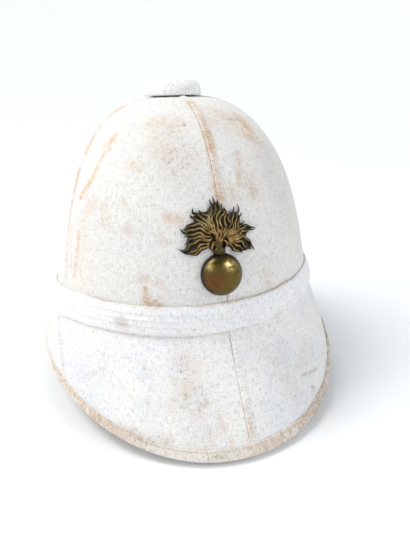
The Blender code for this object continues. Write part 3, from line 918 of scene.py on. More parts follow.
def band_place(turn, at):
    """Point of the band: its edges waver a little, and its pleats swell and flatten."""
    down, out = at
    here = skin(turn, BAND_MIDDLE_ROW)
    waver = 0.0003 * noise.noise(here * 30 + Vector((0, 0, 5 * down))) + 0.00012 * noise.noise(here * 160)
    swell = 0.00025 * noise.noise(Vector((here.x * 22, here.y * 22, down * 260)))
    row = BAND_ROW + (down + waver) / BAND_HEIGHT
    lift = out + over_strip(turn, row) + (swell if out > BAND_EDGE * 0.7 else 0)
    return skin(turn, row) + outward(turn, BAND_MIDDLE_ROW) * lift + SET_DOWN


def edge_wear(here, down):
    """Grey-brown rubbing that comes and goes along both edges of the band."""
    from_edge = min(down, BAND_HEIGHT - FIT - down)
    edge = max(0, 1 - from_edge / EDGE_RUB_REACH) ** 2
    patchy = min(1, max(0, 0.45 + 1.5 * noise.noise(here * 55)))
    brown = min(1, max(0, 0.5 + 1.6 * noise.noise(here * 24 + Vector((3, 5, 1)))))
    return (0.85 * edge * brown, 0.10 * edge * brown, 0.26 * edge * patchy)


band = carry_round(band_section(), band_place)
downs = band.verts.layers.float["down"]
band_wear = np.array([edge_wear(vertex.co, vertex[downs]) for vertex in band.verts])
add_piece("band_cloth", band, band_canvas, "hat_band", extra_wear=lambda points: band_wear)

# %% [markdown]
# The binding is a folded tape sewn over the raw rim of the brim. A tube bent round the rim would be
# quicker, but it would look like a cord. So the tape is carried round in the same way as the band,
# with its own folded section, and its upper edge wavers because it is turned in by hand.

# %% Section of the binding
BINDING_WIDTH = 0.0085
TAPE_OFF_CLOTH = 0.0004
RIDGE_STEP = 0.0008
RIDGE = 0.00025
UNDER_SHARES = (0.4, 0.6, 0.8, 1.0)


def binding_section():
    """Closed section of the folded tape: distance in from the rim, and depth below the skin, in metres."""
    width = BINDING_WIDTH
    top = -TAPE_OFF_CLOTH
    outer = -(TAPE_OFF_CLOTH + BINDING_WALL)
    under = COVER_WALL + SHELL_WALL + 2 * FIT
    below = under + BINDING_WALL
    turned = width - 0.0006
    section = [(width - 0.0004, 0.0002), (width, top), (width - 0.0001, outer + 0.0005), (turned, outer)]
    section += [(turned - RIDGE_STEP * step, outer + RIDGE * (step in (1, 2))) for step in range(1, 8)]
    section += [(0.0018, outer), (0.0011, outer + 0.0003), (0.0005, -0.0008), (0.0001, 0.0006)]
    section += [(0, under / 2), (0.0001, under - 0.0012), (0.0006, under - 0.0001)]
    section += [(0.0012, under + 0.0008), (0.0019, below)]
    section += [(width * share, below) for share in UNDER_SHARES]
    section += [(width, under), (BINDING_WALL, under), (BINDING_WALL, top)]
    return section


print("binding section:", len(binding_section()), "points")

# %% Rim binding
FLANK_NARROWING = 0.34
UPPER_EDGE_FROM = 0.007


def tape_width(turn):
    """Share of its full width that the tape keeps: less at the flanks, where it is pulled round."""
    return 1 - FLANK_NARROWING * abs(sin(turn)) ** 1.2


def binding_place(turn, at):
    """Point of the binding."""
    inside, depth = at
    here = rim(turn)
    waver = 0.00035 * noise.noise(here * 45) if inside > UPPER_EDGE_FROM else 0.0
    fine_swell = 0.00012 * noise.noise(here * 240)
    swell = fine_swell + 0.00012 * noise.noise(here * 90 + Vector((0, 0, inside * 300)))
    if inside > BINDING_WALL:
        inside = BINDING_WALL + (inside - BINDING_WALL) * tape_width(turn)
    row = short_of_rim(turn, inside + waver)
    lift = -depth + (swell + over_strip(turn, row) if depth < 0 else 0)
    return skin(turn, row) + outward(turn, row) * lift + SET_DOWN


def tape_wear(points):
    """Rubbing along the whole tape, strongest at two places of the front; on the wearer's left side the tape
    is rubbed tan and darkened by painted shade.
    """
    wear = np.zeros((len(points), 3))
    for number, (x, y, z) in enumerate(points):
        rub = 0.5 + 0.9 * noise.noise(Vector((x, y, z)) * 26)
        # Painted shade and rubbed tan: the wearer's left side of the tape is painted tan and darker.
        left_tan_and_shade = min(1, max(0, (x - 0.015) / 0.055))
        on_right = max(0, 1 - hypot(x + 0.085, y + 0.095) / 0.075)
        in_front = max(0, 1 - abs(x - 0.022) / 0.05)
        tan = 0.02 + 0.26 * rub + 0.42 * left_tan_and_shade + 0.30 * on_right + 0.28 * in_front
        wear[number] = (tan, 0.05 * rub + 0.34 * on_right + 0.16 * in_front, 0.06 * left_tan_and_shade)
    return wear


binding = carry_round(binding_section(), binding_place)
add_piece("binding_tape", binding, tape, "rim_binding", extra_wear=tape_wear)

# %% [markdown]
# A line of stitches is one thread that dives under the cloth and comes up again. It is made as one
# thin tube per line whose height swings up and down, so only the raised parts show. Separate beads
# would look the same and take far longer to make.

# %% Sew a thread
STITCH_STEP = 0.0030
THREAD_RADIUS = 0.00028
THREAD_CELL = 0.0005
THREAD_SIDES = 6
STITCH_RISE = 2.6
STITCH_DIVE = 1.9


def evenly_spaced(line):
    """Points and outward directions at even small steps along a line."""
    points = np.array([point for point, _ in line])
    squares = np.array([square for _, square in line])
    run = np.concatenate(([0], np.cumsum(np.linalg.norm(np.diff(points, axis=0), axis=1))))
    even = np.linspace(0, run[-1], round(run[-1] / THREAD_CELL) + 1)
    columns = [np.interp(even, run, values) for values in (*points.T, *squares.T)]
    return even, np.array(columns[:3]).T, np.array(columns[3:]).T


def sew(bm, line):
    """Lays one running thread along a line of places, each a point with its outward direction."""
    run, points, squares = evenly_spaced(line)
    forward = np.gradient(points, axis=0)
    last = len(run) - 1
    made = bmesh.ops.create_grid(bm, x_segments=last, y_segments=THREAD_SIDES, size=0.5)["verts"]
    for vertex in made:
        index = round((vertex.co.x + 0.5) * last)
        turn = 2 * pi * (vertex.co.y + 0.5)
        square = Vector(squares[index]).normalized()
        aside = square.cross(Vector(forward[index]).normalized())
        swing = sin(pi * run[index] / STITCH_STEP) ** 2
        thickness = 0 if index in (0, last) else 1
        rise = THREAD_RADIUS * (STITCH_RISE * swing - STITCH_DIVE + thickness * sin(turn))
        width = THREAD_RADIUS * thickness * (0.55 + 0.6 * swing)
        vertex.co = Vector(points[index]) + square * rise + aside * (cos(turn) * width)


def close_threads(bm):
    """Welds the threads' long edges and turns their faces outwards."""
    bmesh.ops.remove_doubles(bm, verts=bm.verts, dist=MERGE)
    bmesh.ops.recalc_face_normals(bm, faces=bm.faces)
    return bm


print("a stitch every", STITCH_STEP, "m")

# %% Stitches of the seams
LINE_STEPS = 160
EDGE_STITCH = 0.0011
EDGE_STITCH_RISE = 0.0002
SEAM_THREADS = ((FELL_WIDTH - STITCH_INSET, FELL_RAISE), (EDGE_STITCH, FELL_RAISE + EDGE_STITCH_RISE))
CROWN_STITCH_FROM = 0.09
CROWN_STITCH_TO = 0.999
BRIM_STITCH_FROM = 2.02


def seam_line(seam, distance, first, last, lift):
    """Places down a seam at a distance beside it."""
    line = []
    for step in range(LINE_STEPS + 1):
        row = first + (last - first) * step / LINE_STEPS
        angle = angle_beside(seam, row, distance)
        line.append((on_helmet(angle, row, lift), outward(angle, row)))
    return line


seams = bmesh.new()
for seam, _ in PANELS.values():
    brim_end_row = short_of_rim(seam, BINDING_WIDTH + 0.0006)
    for beside, height in SEAM_THREADS:
        sew(seams, seam_line(seam, beside, CROWN_STITCH_FROM, CROWN_STITCH_TO, height))
        sew(seams, seam_line(seam, beside, BRIM_STITCH_FROM, brim_end_row, height))
add_piece("seam_stitches", close_threads(seams), thread)

# %% Stitches of the binding
HEM_STEPS = 1200
HEM_INSET = 0.0012


def hem_place(turn):
    """Place of the hem's thread on the tape, with its outward direction."""
    row = short_of_rim(turn, (BINDING_WIDTH - HEM_INSET) * tape_width(turn))
    return on_helmet(turn, row, TAPE_OFF_CLOTH + BINDING_WALL), outward(turn, RIM_ROW - 0.1)


hem = bmesh.new()
sew(hem, [hem_place(2 * pi * step / HEM_STEPS) for step in range(HEM_STEPS + 1)])
add_piece("binding_stitches", close_threads(hem), thread)

# %% [markdown]
# The ventilator button on top is a flat knob covered with a disc of the same canvas, drawn in
# underneath, so small gathers run up its side. A cylinder with rounded edges would miss the gathers.
# So it is a profile spun once round, and then each point of the side is pushed in or out.

# %% Profile of the vent button
BUTTON_RADIUS = 0.0228
BUTTON_HEIGHT = 0.0125
BUTTON_EDGE_HEIGHT = 0.0031
BUTTON_SOFTNESS = 0.45
SHOULDER_STEPS = 26
BUTTON_SIDES = 192


def spin_round(bm, profile, sides):
    """Solid of revolution about Z from radii and heights that start and end on the axis."""
    chain = [bm.verts.new((radius, 0, height)) for radius, height in profile]
    edges = [bm.edges.new(pair) for pair in zip(chain, chain[1:])]
    bmesh.ops.spin(
        bm, geom=chain + edges, cent=(0, 0, 0), axis=(0, 0, 1), dvec=(0, 0, 0),
        angle=2 * pi, steps=sides, use_merge=True, use_duplicate=False,
    )
    bmesh.ops.remove_doubles(bm, verts=bm.verts, dist=MERGE)
    bmesh.ops.recalc_face_normals(bm, faces=bm.faces)


stem = VENT_RADIUS - 2 * FIT - COVER_WALL
button_profile = []
for step in range(SHOULDER_STEPS + 1):
    climb = pi / 2 * (1 - step / SHOULDER_STEPS)
    radius = BUTTON_RADIUS * cos(climb) ** BUTTON_SOFTNESS if step else 0.0
    rise = (BUTTON_HEIGHT - BUTTON_EDGE_HEIGHT) * sin(climb)
    button_profile.append((radius, BUTTON_EDGE_HEIGHT + rise))
for share, height in ((1, 0.0020), (0.997, 0.0010), (0.985, 0.0003), (0.965, 0), (0.85, 0.0004)):
    button_profile.append((BUTTON_RADIUS * share, height))
button_profile += [(stem, 0.0002), (stem, stem_foot), (0, stem_foot)]
knob = bmesh.new()
spin_round(knob, button_profile, BUTTON_SIDES)
print("button profile:", len(button_profile), "points")

# %% Gathers of the vent button
GATHERS = 34
GATHER_DEPTH = 0.00042
DRAWN_IN = 0.0002
DENT = 0.0003
DENTS_FROM = 0.004

for vertex in knob.verts:
    spread = hypot(vertex.co.x, vertex.co.y)
    turn = atan2(vertex.co.y, vertex.co.x)
    if spread > 0.6 * BUTTON_RADIUS and vertex.co.z > -0.0001:
        gather = sin(GATHERS * turn + 2.2 * sin(3 * turn) + 1.5 * sin(7 * turn))
        low_down = max(0, 1 - vertex.co.z / (BUTTON_HEIGHT * 0.8)) ** 1.5
        pull = GATHER_DEPTH * gather * low_down * (0.6 + 0.4 * sin(5 * turn + 1))
        vertex.co += Vector((cos(turn), sin(turn), 0)) * (pull - DRAWN_IN)
    vertex.co.z += DENT * noise.noise(vertex.co * 70) if vertex.co.z > DENTS_FROM else 0
bmesh.ops.translate(knob, verts=knob.verts, vec=Vector((0, PEAK_BACK, button_seat)) + SET_DOWN)
knob.verts.index_update()
store_flat(knob, [(vertex.co.x, vertex.co.y + vertex.co.z) for vertex in knob.verts])
add_piece("button_cloth", knob, button_canvas, "vent_button")

# %% [markdown]
# The badge is stamped brass. Rubbed crests shine, and the hollows keep a dark patina, copper-red near
# the root of the flames. A node for pointed places could guess this from the shape, but its answer
# depends on how finely the mesh is cut. So each point of the badge carries its tone in the wear
# attribute: red for crests, green for copper, blue for dark hollows. On the ball, red also carries
# two painted highlights, and the brass's gold and olive are painted dark as a painted reflection of
# dark surroundings.

# %% Brass
# Painted reflection: the gold and olive are painted far darker than brass, standing in for dark surroundings
# that the metal would reflect.
GOLD_WITH_PAINTED_REFLECTION = (0.165, 0.114, 0.030, 1)
OLIVE_WITH_PAINTED_REFLECTION = (0.100, 0.075, 0.018, 1)
BRIGHT_CREST = (0.62, 0.46, 0.22, 1)
COPPER = (0.20, 0.065, 0.018, 1)
PATINA = (0.040, 0.029, 0.022, 1)
GREEN_BLACK = (0.040, 0.048, 0.042, 1)
TARNISH_SCALE = 260
PIT_SCALE = 1500
BRASS_BUMP = 0.0001

brass, tree, shader = start_material("patinated_brass")
place = tree.nodes.new("ShaderNodeTexCoord").outputs["Object"]
crest, copper, dark = painted(tree)
cloudy = grain(tree, place, TARNISH_SCALE, 4)
fine = grain(tree, place, PIT_SCALE, 3)
clouded = calc(tree, "MULTIPLY", calc(tree, "SUBTRACT", cloudy, 0.5), 0.7)
rubbed = steps(tree, calc(tree, "ADD", crest, clouded), 0.28, 0.80)
patina = blend(tree, steps(tree, cloudy, 0.4, 0.65), PATINA, GREEN_BLACK)
metal = blend(tree, steps(tree, cloudy, 0.35, 0.7), GOLD_WITH_PAINTED_REFLECTION, OLIVE_WITH_PAINTED_REFLECTION)
# Bright brass where crests are rubbed, and painted highlights where the ball's crest tone is raised.
rubbed_and_highlit = calc(tree, "MULTIPLY", steps(tree, crest, 0.68, 0.92), steps(tree, cloudy, 0.36, 0.56))
polished_and_highlit = blend(tree, rubbed_and_highlit, metal, BRIGHT_CREST)
reddened = blend(tree, copper, polished_and_highlit, COPPER)
shown = blend(tree, rubbed, patina, reddened)
tarnished = blend(tree, calc(tree, "MULTIPLY", dark, steps(tree, fine, 0.1, 0.6)), shown, PATINA)
tree.links.new(tarnished, shader.inputs["Base Color"])
shader.inputs["Metallic"].default_value = 1.0
roughness = calc(tree, "MULTIPLY_ADD", fine, 0.14, 0.20)
tree.links.new(calc(tree, "MULTIPLY_ADD", dark, 0.2, roughness), shader.inputs["Roughness"])
relief(tree, shader, cloudy, BRASS_BUMP)
print("brass of", len(tree.nodes), "nodes")

# %% [markdown]
# A badge is stamped flat and then bent to the helmet that it goes on, and it is made that way here.
# Its points are set out in millimetres on a flat sheet: across, up, and out from its back. One
# function bends them to the crown, so nothing else has to know that the crown is round.

# %% Bend the badge to the crown
BALL_ABOVE_BAND = 0.0194
BADGE_ASIDE = -0.0033


def badge_to_crown(flat):
    """Point of the crown's front for a point of the flat badge: x aside, y off its back, z up."""
    rise = (flat.z + BALL_ABOVE_BAND) / (CROWN_TOP - band_top(0))
    climb = asin(max(rise, 0) ** (DOME_FULLNESS / 2))
    share = (flat.x + BADGE_ASIDE) / (CROWN_HALF_WIDTH * cos(climb) ** (2 / DOME_SQUARENESS))
    angle = asin(signed_power(share, PLAN_SQUARENESS / 2))
    return on_helmet(angle, 1 - climb / VENT_CLIMB, flat.y + FIT + FELL_RAISE)


print("middle of the ball at", [round(value, 4) for value in badge_to_crown(Vector((0, 0, 0)))])

# %% [markdown]
# The flames are locks that start at a root over the ball, swing like an S and thin to a point. They
# could be scattered by chance, but a badge is drawn by hand, so these are listed one by one: each row
# is a lock's width and the places of its line.

# %% Locks on the left, as seen from in front
Lock = namedtuple("Lock", "width line")
FLAME_LOCKS = [
    Lock(2.3, ((-4.2, 21.3), (-9.0, 22.0), (-12.5, 22.0), (-15.6, 21.0), (-17.8, 19.4), (-20.0, 17.5),
         (-22.4, 16.4), (-25.0, 17.7))),
    Lock(2.3, ((-5.5, 20.2), (-9.2, 20.0), (-12.3, 18.8), (-14.9, 16.9), (-16.9, 15.4), (-20.4, 14.9),
         (-23.6, 16.0))),
    Lock(2.2, ((-6.4, 19.2), (-10.1, 17.7), (-13.3, 15.9), (-17.0, 14.3), (-20.4, 14.5))),
    Lock(2.1, ((-4.0, 22.4), (-8.3, 22.6), (-11.7, 24.0), (-14.6, 24.2), (-17.4, 22.9), (-19.3, 21.0),
         (-21.1, 20.1))),
    Lock(2.2, ((-4.5, 23.9), (-8.6, 24.6), (-11.5, 26.0), (-14.0, 26.4), (-17.1, 25.5), (-19.1, 25.0),
         (-20.9, 24.5))),
    Lock(2.3, ((-4.3, 25.3), (-7.8, 26.8), (-10.5, 28.5), (-13.4, 29.2), (-16.4, 28.3), (-19.2, 27.0),
         (-21.1, 27.6), (-22.5, 29.4))),
    Lock(2.3, ((-5.2, 27.4), (-8.0, 29.4), (-10.8, 31.1), (-13.6, 31.6), (-16.7, 30.5), (-19.2, 29.0),
         (-20.9, 28.6))),
    Lock(2.4, ((-3.0, 25.5), (-5.8, 27.8), (-7.6, 30.5), (-9.6, 32.9), (-12.7, 34.3), (-14.8, 35.5),
         (-15.7, 37.0))),
    Lock(2.2, ((-2.2, 26.9), (-5.0, 29.4), (-6.7, 32.4), (-8.2, 34.8), (-11.2, 36.4), (-13.5, 38.2),
         (-13.4, 40.8))),
    Lock(2.2, ((-1.7, 28.5), (-4.1, 31.6), (-5.1, 34.8), (-6.9, 36.9), (-9.2, 37.9), (-9.9, 39.5))),
]
print(len(FLAME_LOCKS), "locks on the left")

# %% Locks that stand up
FLAME_LOCKS += [
    Lock(2.2, ((-1.4, 23.9), (-3.7, 27.6), (-5.0, 31.7), (-4.4, 35.6), (-2.4, 38.8), (-1.9, 41.8),
         (-2.8, 44.8))),
    Lock(2.2, ((-0.7, 24.4), (-2.4, 28.3), (-3.0, 32.4), (-1.5, 36.2), (0.5, 39.1), (0.4, 42.5),
         (-0.3, 46.3))),
    Lock(2.2, ((-0.1, 24.3), (-0.2, 28.4), (-0.5, 32.4), (1.6, 36.2), (3.1, 39.4), (2.5, 42.6),
         (2.6, 44.6))),
    Lock(2.2, ((0.9, 24.2), (2.6, 27.2), (1.4, 30.5), (2.8, 33.8), (4.9, 36.7), (4.3, 39.3), (5.2, 41.9))),
    Lock(2.1, ((2.2, 24.6), (4.9, 27.5), (4.4, 31.3), (6.2, 34.6), (6.3, 37.4), (5.7, 39.7))),
    Lock(1.5, ((3.5, 24.5), (6.4, 26.8), (8.1, 29.7), (7.6, 33.0), (9.0, 35.7), (9.9, 37.6))),
    Lock(1.7, ((3.0, 23.4), (6.6, 25.6), (9.9, 28.1), (10.0, 31.5), (10.8, 34.6), (12.2, 37.0),
         (12.5, 39.4))),
    Lock(1.7, ((3.6, 22.7), (7.8, 25.1), (11.5, 27.5), (12.0, 31.0), (13.4, 34.0), (15.6, 36.8),
         (15.3, 40.5))),
]
print(len(FLAME_LOCKS), "locks with those that stand up")

# %% Locks on the right and over the root
FLAME_LOCKS += [
    Lock(1.7, ((4.2, 22.4), (9.1, 24.7), (13.1, 26.7), (13.7, 29.9), (15.3, 32.5), (17.5, 35.2))),
    Lock(1.7, ((4.5, 22.0), (9.0, 23.8), (13.0, 25.9), (15.3, 28.2), (19.1, 29.9))),
    Lock(1.8, ((4.8, 21.7), (10.2, 22.7), (14.2, 25.1), (17.6, 26.9), (21.5, 26.3), (27.0, 24.1))),
    Lock(1.7, ((5.0, 21.2), (10.4, 21.8), (14.7, 23.5), (18.0, 24.5), (22.0, 24.1), (25.6, 24.0))),
    Lock(1.7, ((5.3, 20.7), (10.7, 21.0), (14.9, 22.3), (19.2, 21.2))),
    Lock(1.8, ((5.3, 20.3), (10.6, 20.3), (15.4, 20.8), (18.8, 19.0), (21.3, 15.5), (24.0, 11.3))),
    Lock(1.8, ((5.2, 19.7), (9.8, 19.5), (13.5, 18.7), (15.6, 16.2), (18.6, 13.7), (22.1, 12.2))),
    Lock(1.8, ((5.1, 18.8), (9.0, 18.3), (11.8, 16.4), (14.0, 14.0), (17.4, 12.4))),
    Lock(1.7, ((5.3, 18.2), (8.4, 16.0), (10.8, 13.3), (15.5, 11.6))),
    Lock(2.2, ((-3.2, 20.8), (-4.9, 19.0), (-4.9, 16.9), (-3.6, 15.6))),
    Lock(1.8, ((2.6, 20.8), (4.0, 19.2), (3.9, 17.4), (3.0, 16.4))),
    Lock(2.6, ((-0.6, 19.0), (-1.4, 23.0), (-2.4, 26.5), (-3.2, 30.0))),
    Lock(2.6, ((0.2, 19.0), (0.4, 22.5), (0.9, 26.0), (-0.2, 29.5), (-1.0, 33.5))),
    Lock(2.6, ((0.8, 19.0), (2.2, 22.0), (3.6, 25.0), (5.4, 27.0))),
]
print(len(FLAME_LOCKS), "locks in all")

# %% Smooth line through a lock's places
def along_line(points, share):
    """Point and direction on a smooth line through points, at a share of the way along."""
    reach = share * (len(points) - 1)
    index = min(int(reach), len(points) - 2)
    local = reach - index
    near = [Vector(points[min(max(index + step, 0), len(points) - 1)]) for step in (-1, 0, 1, 2)]
    place = 0.5 * (
        2 * near[1] + (near[2] - near[0]) * local
        + (2 * near[0] - 5 * near[1] + 4 * near[2] - near[3]) * local ** 2
        + (3 * near[1] - near[0] - 3 * near[2] + near[3]) * local ** 3
    )
    heading = 0.5 * (
        (near[2] - near[0]) + 2 * (2 * near[0] - 5 * near[1] + 4 * near[2] - near[3]) * local
        + 3 * (3 * near[1] - near[0] - 3 * near[2] + near[3]) * local ** 2
    )
    return place, heading.normalized()


print("first lock heads for", [round(value, 2) for value in along_line(FLAME_LOCKS[0].line, 0.5)[1]])

# %% [markdown]
# A lock is a rounded ridge: thick at the root, full in the middle and drawn out to its tip. It is
# half as wide again as its row says, so that neighbours overlap as stamped ones do. A
# curve object with a bevel would give the ridge, but not the tones on its crest and sides. So each
# lock is a grid that is wrapped round its line, and each vertex takes its tone as it is placed.

# %% Flames
FLAME_ROOT = 0.0170
FLAME_REACH = 0.030
LOCK_STEPS = 34
LOCK_SIDES = 12
LOCK_WAVE = 0.0075
LOCK_SWING = 0.00055
LOCK_SPREAD = 1300
LOCK_BASE = 0.0006
LOCK_HEIGHT = 0.0011
ROOT_HEIGHT = 0.0010
BADGE_BACK = 0.0001
badge = bmesh.new()
tone_layer = badge.verts.layers.float_color.new("tone")


def lock_tone(ridge, share, from_root):
    """Tone of a place on a lock: crest, copper and dark."""
    crest = max(0, ridge) ** 9 * (1 - 0.2 * min(1, from_root) ** 1.5) * (1 - share ** 6)
    side = (0.60 - 0.30 * min(1, from_root)) * (0.45 + 0.55 * max(0, ridge))
    red = max(0, 1 - from_root * 1.7) * 0.7
    shade = 0.15 + 0.45 * min(1, from_root) ** 1.5
    return (max(crest, side), red, shade * (1 - 0.8 * crest), 1)


def add_lock(lock):
    """One lock of flame: a rounded ridge along its line, closed at both ends."""
    made = bmesh.ops.create_grid(badge, x_segments=LOCK_STEPS, y_segments=LOCK_SIDES, size=0.5)["verts"]
    line = [(x / 1000, z / 1000) for x, z in lock.line]
    half_width = lock.width / LOCK_SPREAD
    length = sum(hypot(a[0] - b[0], a[1] - b[1]) for a, b in zip(line, line[1:]))
    for vertex in made:
        share = vertex.co.x + 0.5
        turn = 2 * pi * (vertex.co.y + 0.5)
        ridge = sin(turn)
        middle, heading = along_line(line, share)
        sideways = Vector((-heading.y, heading.x))
        belly = sin(pi * min(1, share * 1.15))
        middle = middle + sideways * (LOCK_SWING * sin(2 * pi * share * length / LOCK_WAVE) * belly ** 0.5)
        taper = max(0.0, 1 - share ** 5) ** 0.85
        start = min(1, share / 0.06) ** 0.5
        aside = sideways * cos(turn) * (half_width * (0.55 + 0.45 * belly) * taper * start)
        from_root = hypot(middle.x, middle.y - FLAME_ROOT) / FLAME_REACH
        near_root = max(0, 1 - from_root)
        base = LOCK_BASE + LOCK_BASE * near_root
        thick = (LOCK_HEIGHT + ROOT_HEIGHT * near_root) * (0.35 + 0.65 * taper) * start
        height = base + thick * (ridge if ridge > 0 else ridge * 0.4)
        vertex[tone_layer] = lock_tone(ridge, share, from_root)
        vertex.co = (middle.x + aside.x, max(height, BADGE_BACK), middle.y + aside.y)


for lock in FLAME_LOCKS:
    add_lock(lock)
bmesh.ops.remove_doubles(badge, verts=badge.verts, dist=2 * MERGE)
bmesh.ops.recalc_face_normals(badge, faces=badge.faces)
print(len(FLAME_LOCKS), "locks,", len(badge.faces), "faces")

# %% [markdown]
# Behind the locks is the sheet that they are stamped from, seen dark between them. It is an outline
# a little inside the tips, filled, given its thickness and cut finely enough to bend. Without it the
# cloth would show through the flames, which it doesn't on the real badge.

# %% Plate under the flames
PLATE_THICKNESS = 0.0009
PLATE_CUTS = 3
PLATE_LINE = (
    (-5.5, 18.6), (-9.4, 17.3), (-12.7, 15.6), (-18.2, 14.0), (-22.4, 16.0), (-19.5, 18.2), (-18.4, 22.0),
    (-18.6, 24.6), (-19.5, 27.4), (-17.4, 29.8), (-13.6, 32.4), (-13.8, 35.6), (-11.8, 37.4), (-8.4, 37.8),
    (-5.2, 38.2), (-2.6, 41.4), (0.2, 43.2), (2.4, 42.6), (4.6, 39.6), (5.9, 37.2), (7.8, 35.6), (10.6, 36.2),
    (14.2, 36.0), (15.4, 33.4), (14.4, 30.2), (17.6, 27.8), (22.4, 25.2), (20.6, 23.6), (17.6, 21.2),
    (19.6, 17.6), (21.4, 13.2), (16.2, 12.4), (11.4, 12.6), (7.8, 15.6), (4.4, 18.2), (2.4, 16.4),
    (-3.2, 16.4),
)
plate = bmesh.new()
corners = [plate.verts.new((x / 1000, BADGE_BACK, z / 1000)) for x, z in PLATE_LINE]
grown = bmesh.ops.extrude_face_region(plate, geom=[plate.faces.new(corners)])["geom"]
front = [item for item in grown if isinstance(item, bmesh.types.BMVert)]
bmesh.ops.translate(plate, verts=front, vec=(0, PLATE_THICKNESS, 0))
bmesh.ops.triangulate(plate, faces=plate.faces)
bmesh.ops.subdivide_edges(plate, edges=plate.edges, cuts=PLATE_CUTS, use_grid_fill=True)
bmesh.ops.recalc_face_normals(plate, faces=plate.faces)
print("plate:", len(plate.faces), "faces")

# %% [markdown]
# The ball is a dome, because a stamped badge has only a front, and the collar between it and the
# flames is turned like a small baluster. A profile spun round gives each of them. The back half of
# the collar is then cut away, since it would stand inside the crown.

# %% Ball
BALL_RADIUS = 0.0134
BALL_HEIGHT = 0.0095
DOME_STEPS = 28
BALL_SIDES = 96

ball = bmesh.new()
dome = [(0, BALL_HEIGHT)]
for step in range(1, DOME_STEPS + 1):
    climb = pi / 2 * (1 - step / DOME_STEPS)
    dome.append((BALL_RADIUS * cos(climb), BADGE_BACK + (BALL_HEIGHT - BADGE_BACK) * sin(climb)))
spin_round(ball, dome + [(0, BADGE_BACK)], BALL_SIDES)
bmesh.ops.rotate(ball, verts=ball.verts, cent=(0, 0, 0), matrix=Matrix.Rotation(-pi / 2, 3, "X"))
print("ball:", len(ball.faces), "faces")

# %% Collar
COLLAR_PROFILE = (
    (0, 20.6), (3.0, 20.6), (3.5, 19.8), (3.7, 18.6), (3.4, 17.6), (3.05, 17.2), (3.4, 16.8), (4.0, 16.0),
    (4.2, 15.0), (3.9, 14.0), (3.5, 13.4), (3.6, 12.0), (0, 12.0),
)
COLLAR_SIDES = 40
COLLAR_ASIDE = -0.0005

collar = bmesh.new()
spin_round(collar, [(radius / 1000, height / 1000) for radius, height in COLLAR_PROFILE], COLLAR_SIDES)
bmesh.ops.translate(collar, verts=collar.verts, vec=(COLLAR_ASIDE, 0, 0))
bmesh.ops.bisect_plane(
    collar, geom=collar.verts[:] + collar.edges[:] + collar.faces[:], plane_co=(0, BADGE_BACK, 0),
    plane_no=(0, -1, 0), clear_outer=True,
)
bmesh.ops.holes_fill(collar, edges=[edge for edge in collar.edges if edge.is_boundary])
print("collar:", len(collar.faces), "faces")

# %% [markdown]
# Last, the tones of the plate, ball and collar are painted, the four forms join in one mesh, and the
# whole badge is bent to the crown. The ball is dark at its edge, copper-red and darker low on one
# side, and brighter in two painted highlights above its middle. The forms could stay apart, but the
# real badge is one stamping.

# %% Tones of the plate, ball and collar
PLATE_TONE = (0.1, 0.2, 0.8, 1)
COLLAR_TONE = (0.55, 0.15, 0.35, 1)
BALL_CREST = 0.68
EDGE_FROM = 0.72
DARK_RED_SPOT = (-0.0062, -0.0022, 0.0085)
# Painted highlights: the lamp's on the upper right of the ball, the window's on its upper left.
LAMP_HIGHLIGHT_SPOT = (0.0036, 0.0062, 0.0062)
WINDOW_HIGHLIGHT_SPOT = (-0.0084, 0.0066, 0.0040)


def within(point, spot):
    """How far a point of the badge lies inside a round spot: 1 in its middle, 0 at its edge and past it."""
    x, z, radius = spot
    return max(0, 1 - hypot(point.x - x, point.z - z) / radius)


def ball_tone(point):
    """Tone of a point of the ball: crest, copper and dark."""
    edge = max(0, (hypot(point.x, point.z) / BALL_RADIUS - EDGE_FROM) / (1 - EDGE_FROM)) ** 2
    dark_red_spot = within(point, DARK_RED_SPOT)
    # Painted highlight: the ball is painted brighter in two spots, where the lamp and the window shine on it.
    painted_highlight = max(within(point, LAMP_HIGHLIGHT_SPOT), within(point, WINDOW_HIGHLIGHT_SPOT))
    return (BALL_CREST - 0.4 * edge + 0.20 * painted_highlight, 0.9 * dark_red_spot, 0.8 * edge + 0.4 * dark_red_spot, 1)


print("tone in the middle of the ball:", [round(value, 2) for value in ball_tone(Vector((0, 0, 0)))])

# %% Join the badge and bend it
BADGE_FORMS = (
    (plate, lambda point: PLATE_TONE),
    (ball, ball_tone),
    (collar, lambda point: COLLAR_TONE),
)
for form, tone_of in BADGE_FORMS:
    layer = form.verts.layers.float_color.new("tone")
    for vertex in form.verts:
        vertex[layer] = tone_of(vertex.co)
    working = bpy.data.meshes.new("badge_form")
    form.to_mesh(working)
    form.free()
    badge.from_mesh(working)
    bpy.data.meshes.remove(working)
for vertex in badge.verts:
    vertex.co = badge_to_crown(vertex.co)
bmesh.ops.recalc_face_normals(badge, faces=badge.faces)
tone_layer = badge.verts.layers.float_color["tone"]
badge_tones = np.array([vertex[tone_layer][:3] for vertex in badge.verts])
badge.verts.layers.float_color.remove(tone_layer)
add_piece("brass_badge", badge, brass, "badge", extra_wear=lambda points: badge_tones, marked=False)

# %% [markdown]
# Under the cloth is bare pith, seen only from below: pale brown, with soft pores and a slight grain.
# The solid model's shell has the right shape already, so it stays and only takes this finish.

# %% Pith
STREAK_SCALE = 90
PORE_SCALE = 900
PITH_BUMP = 0.0004

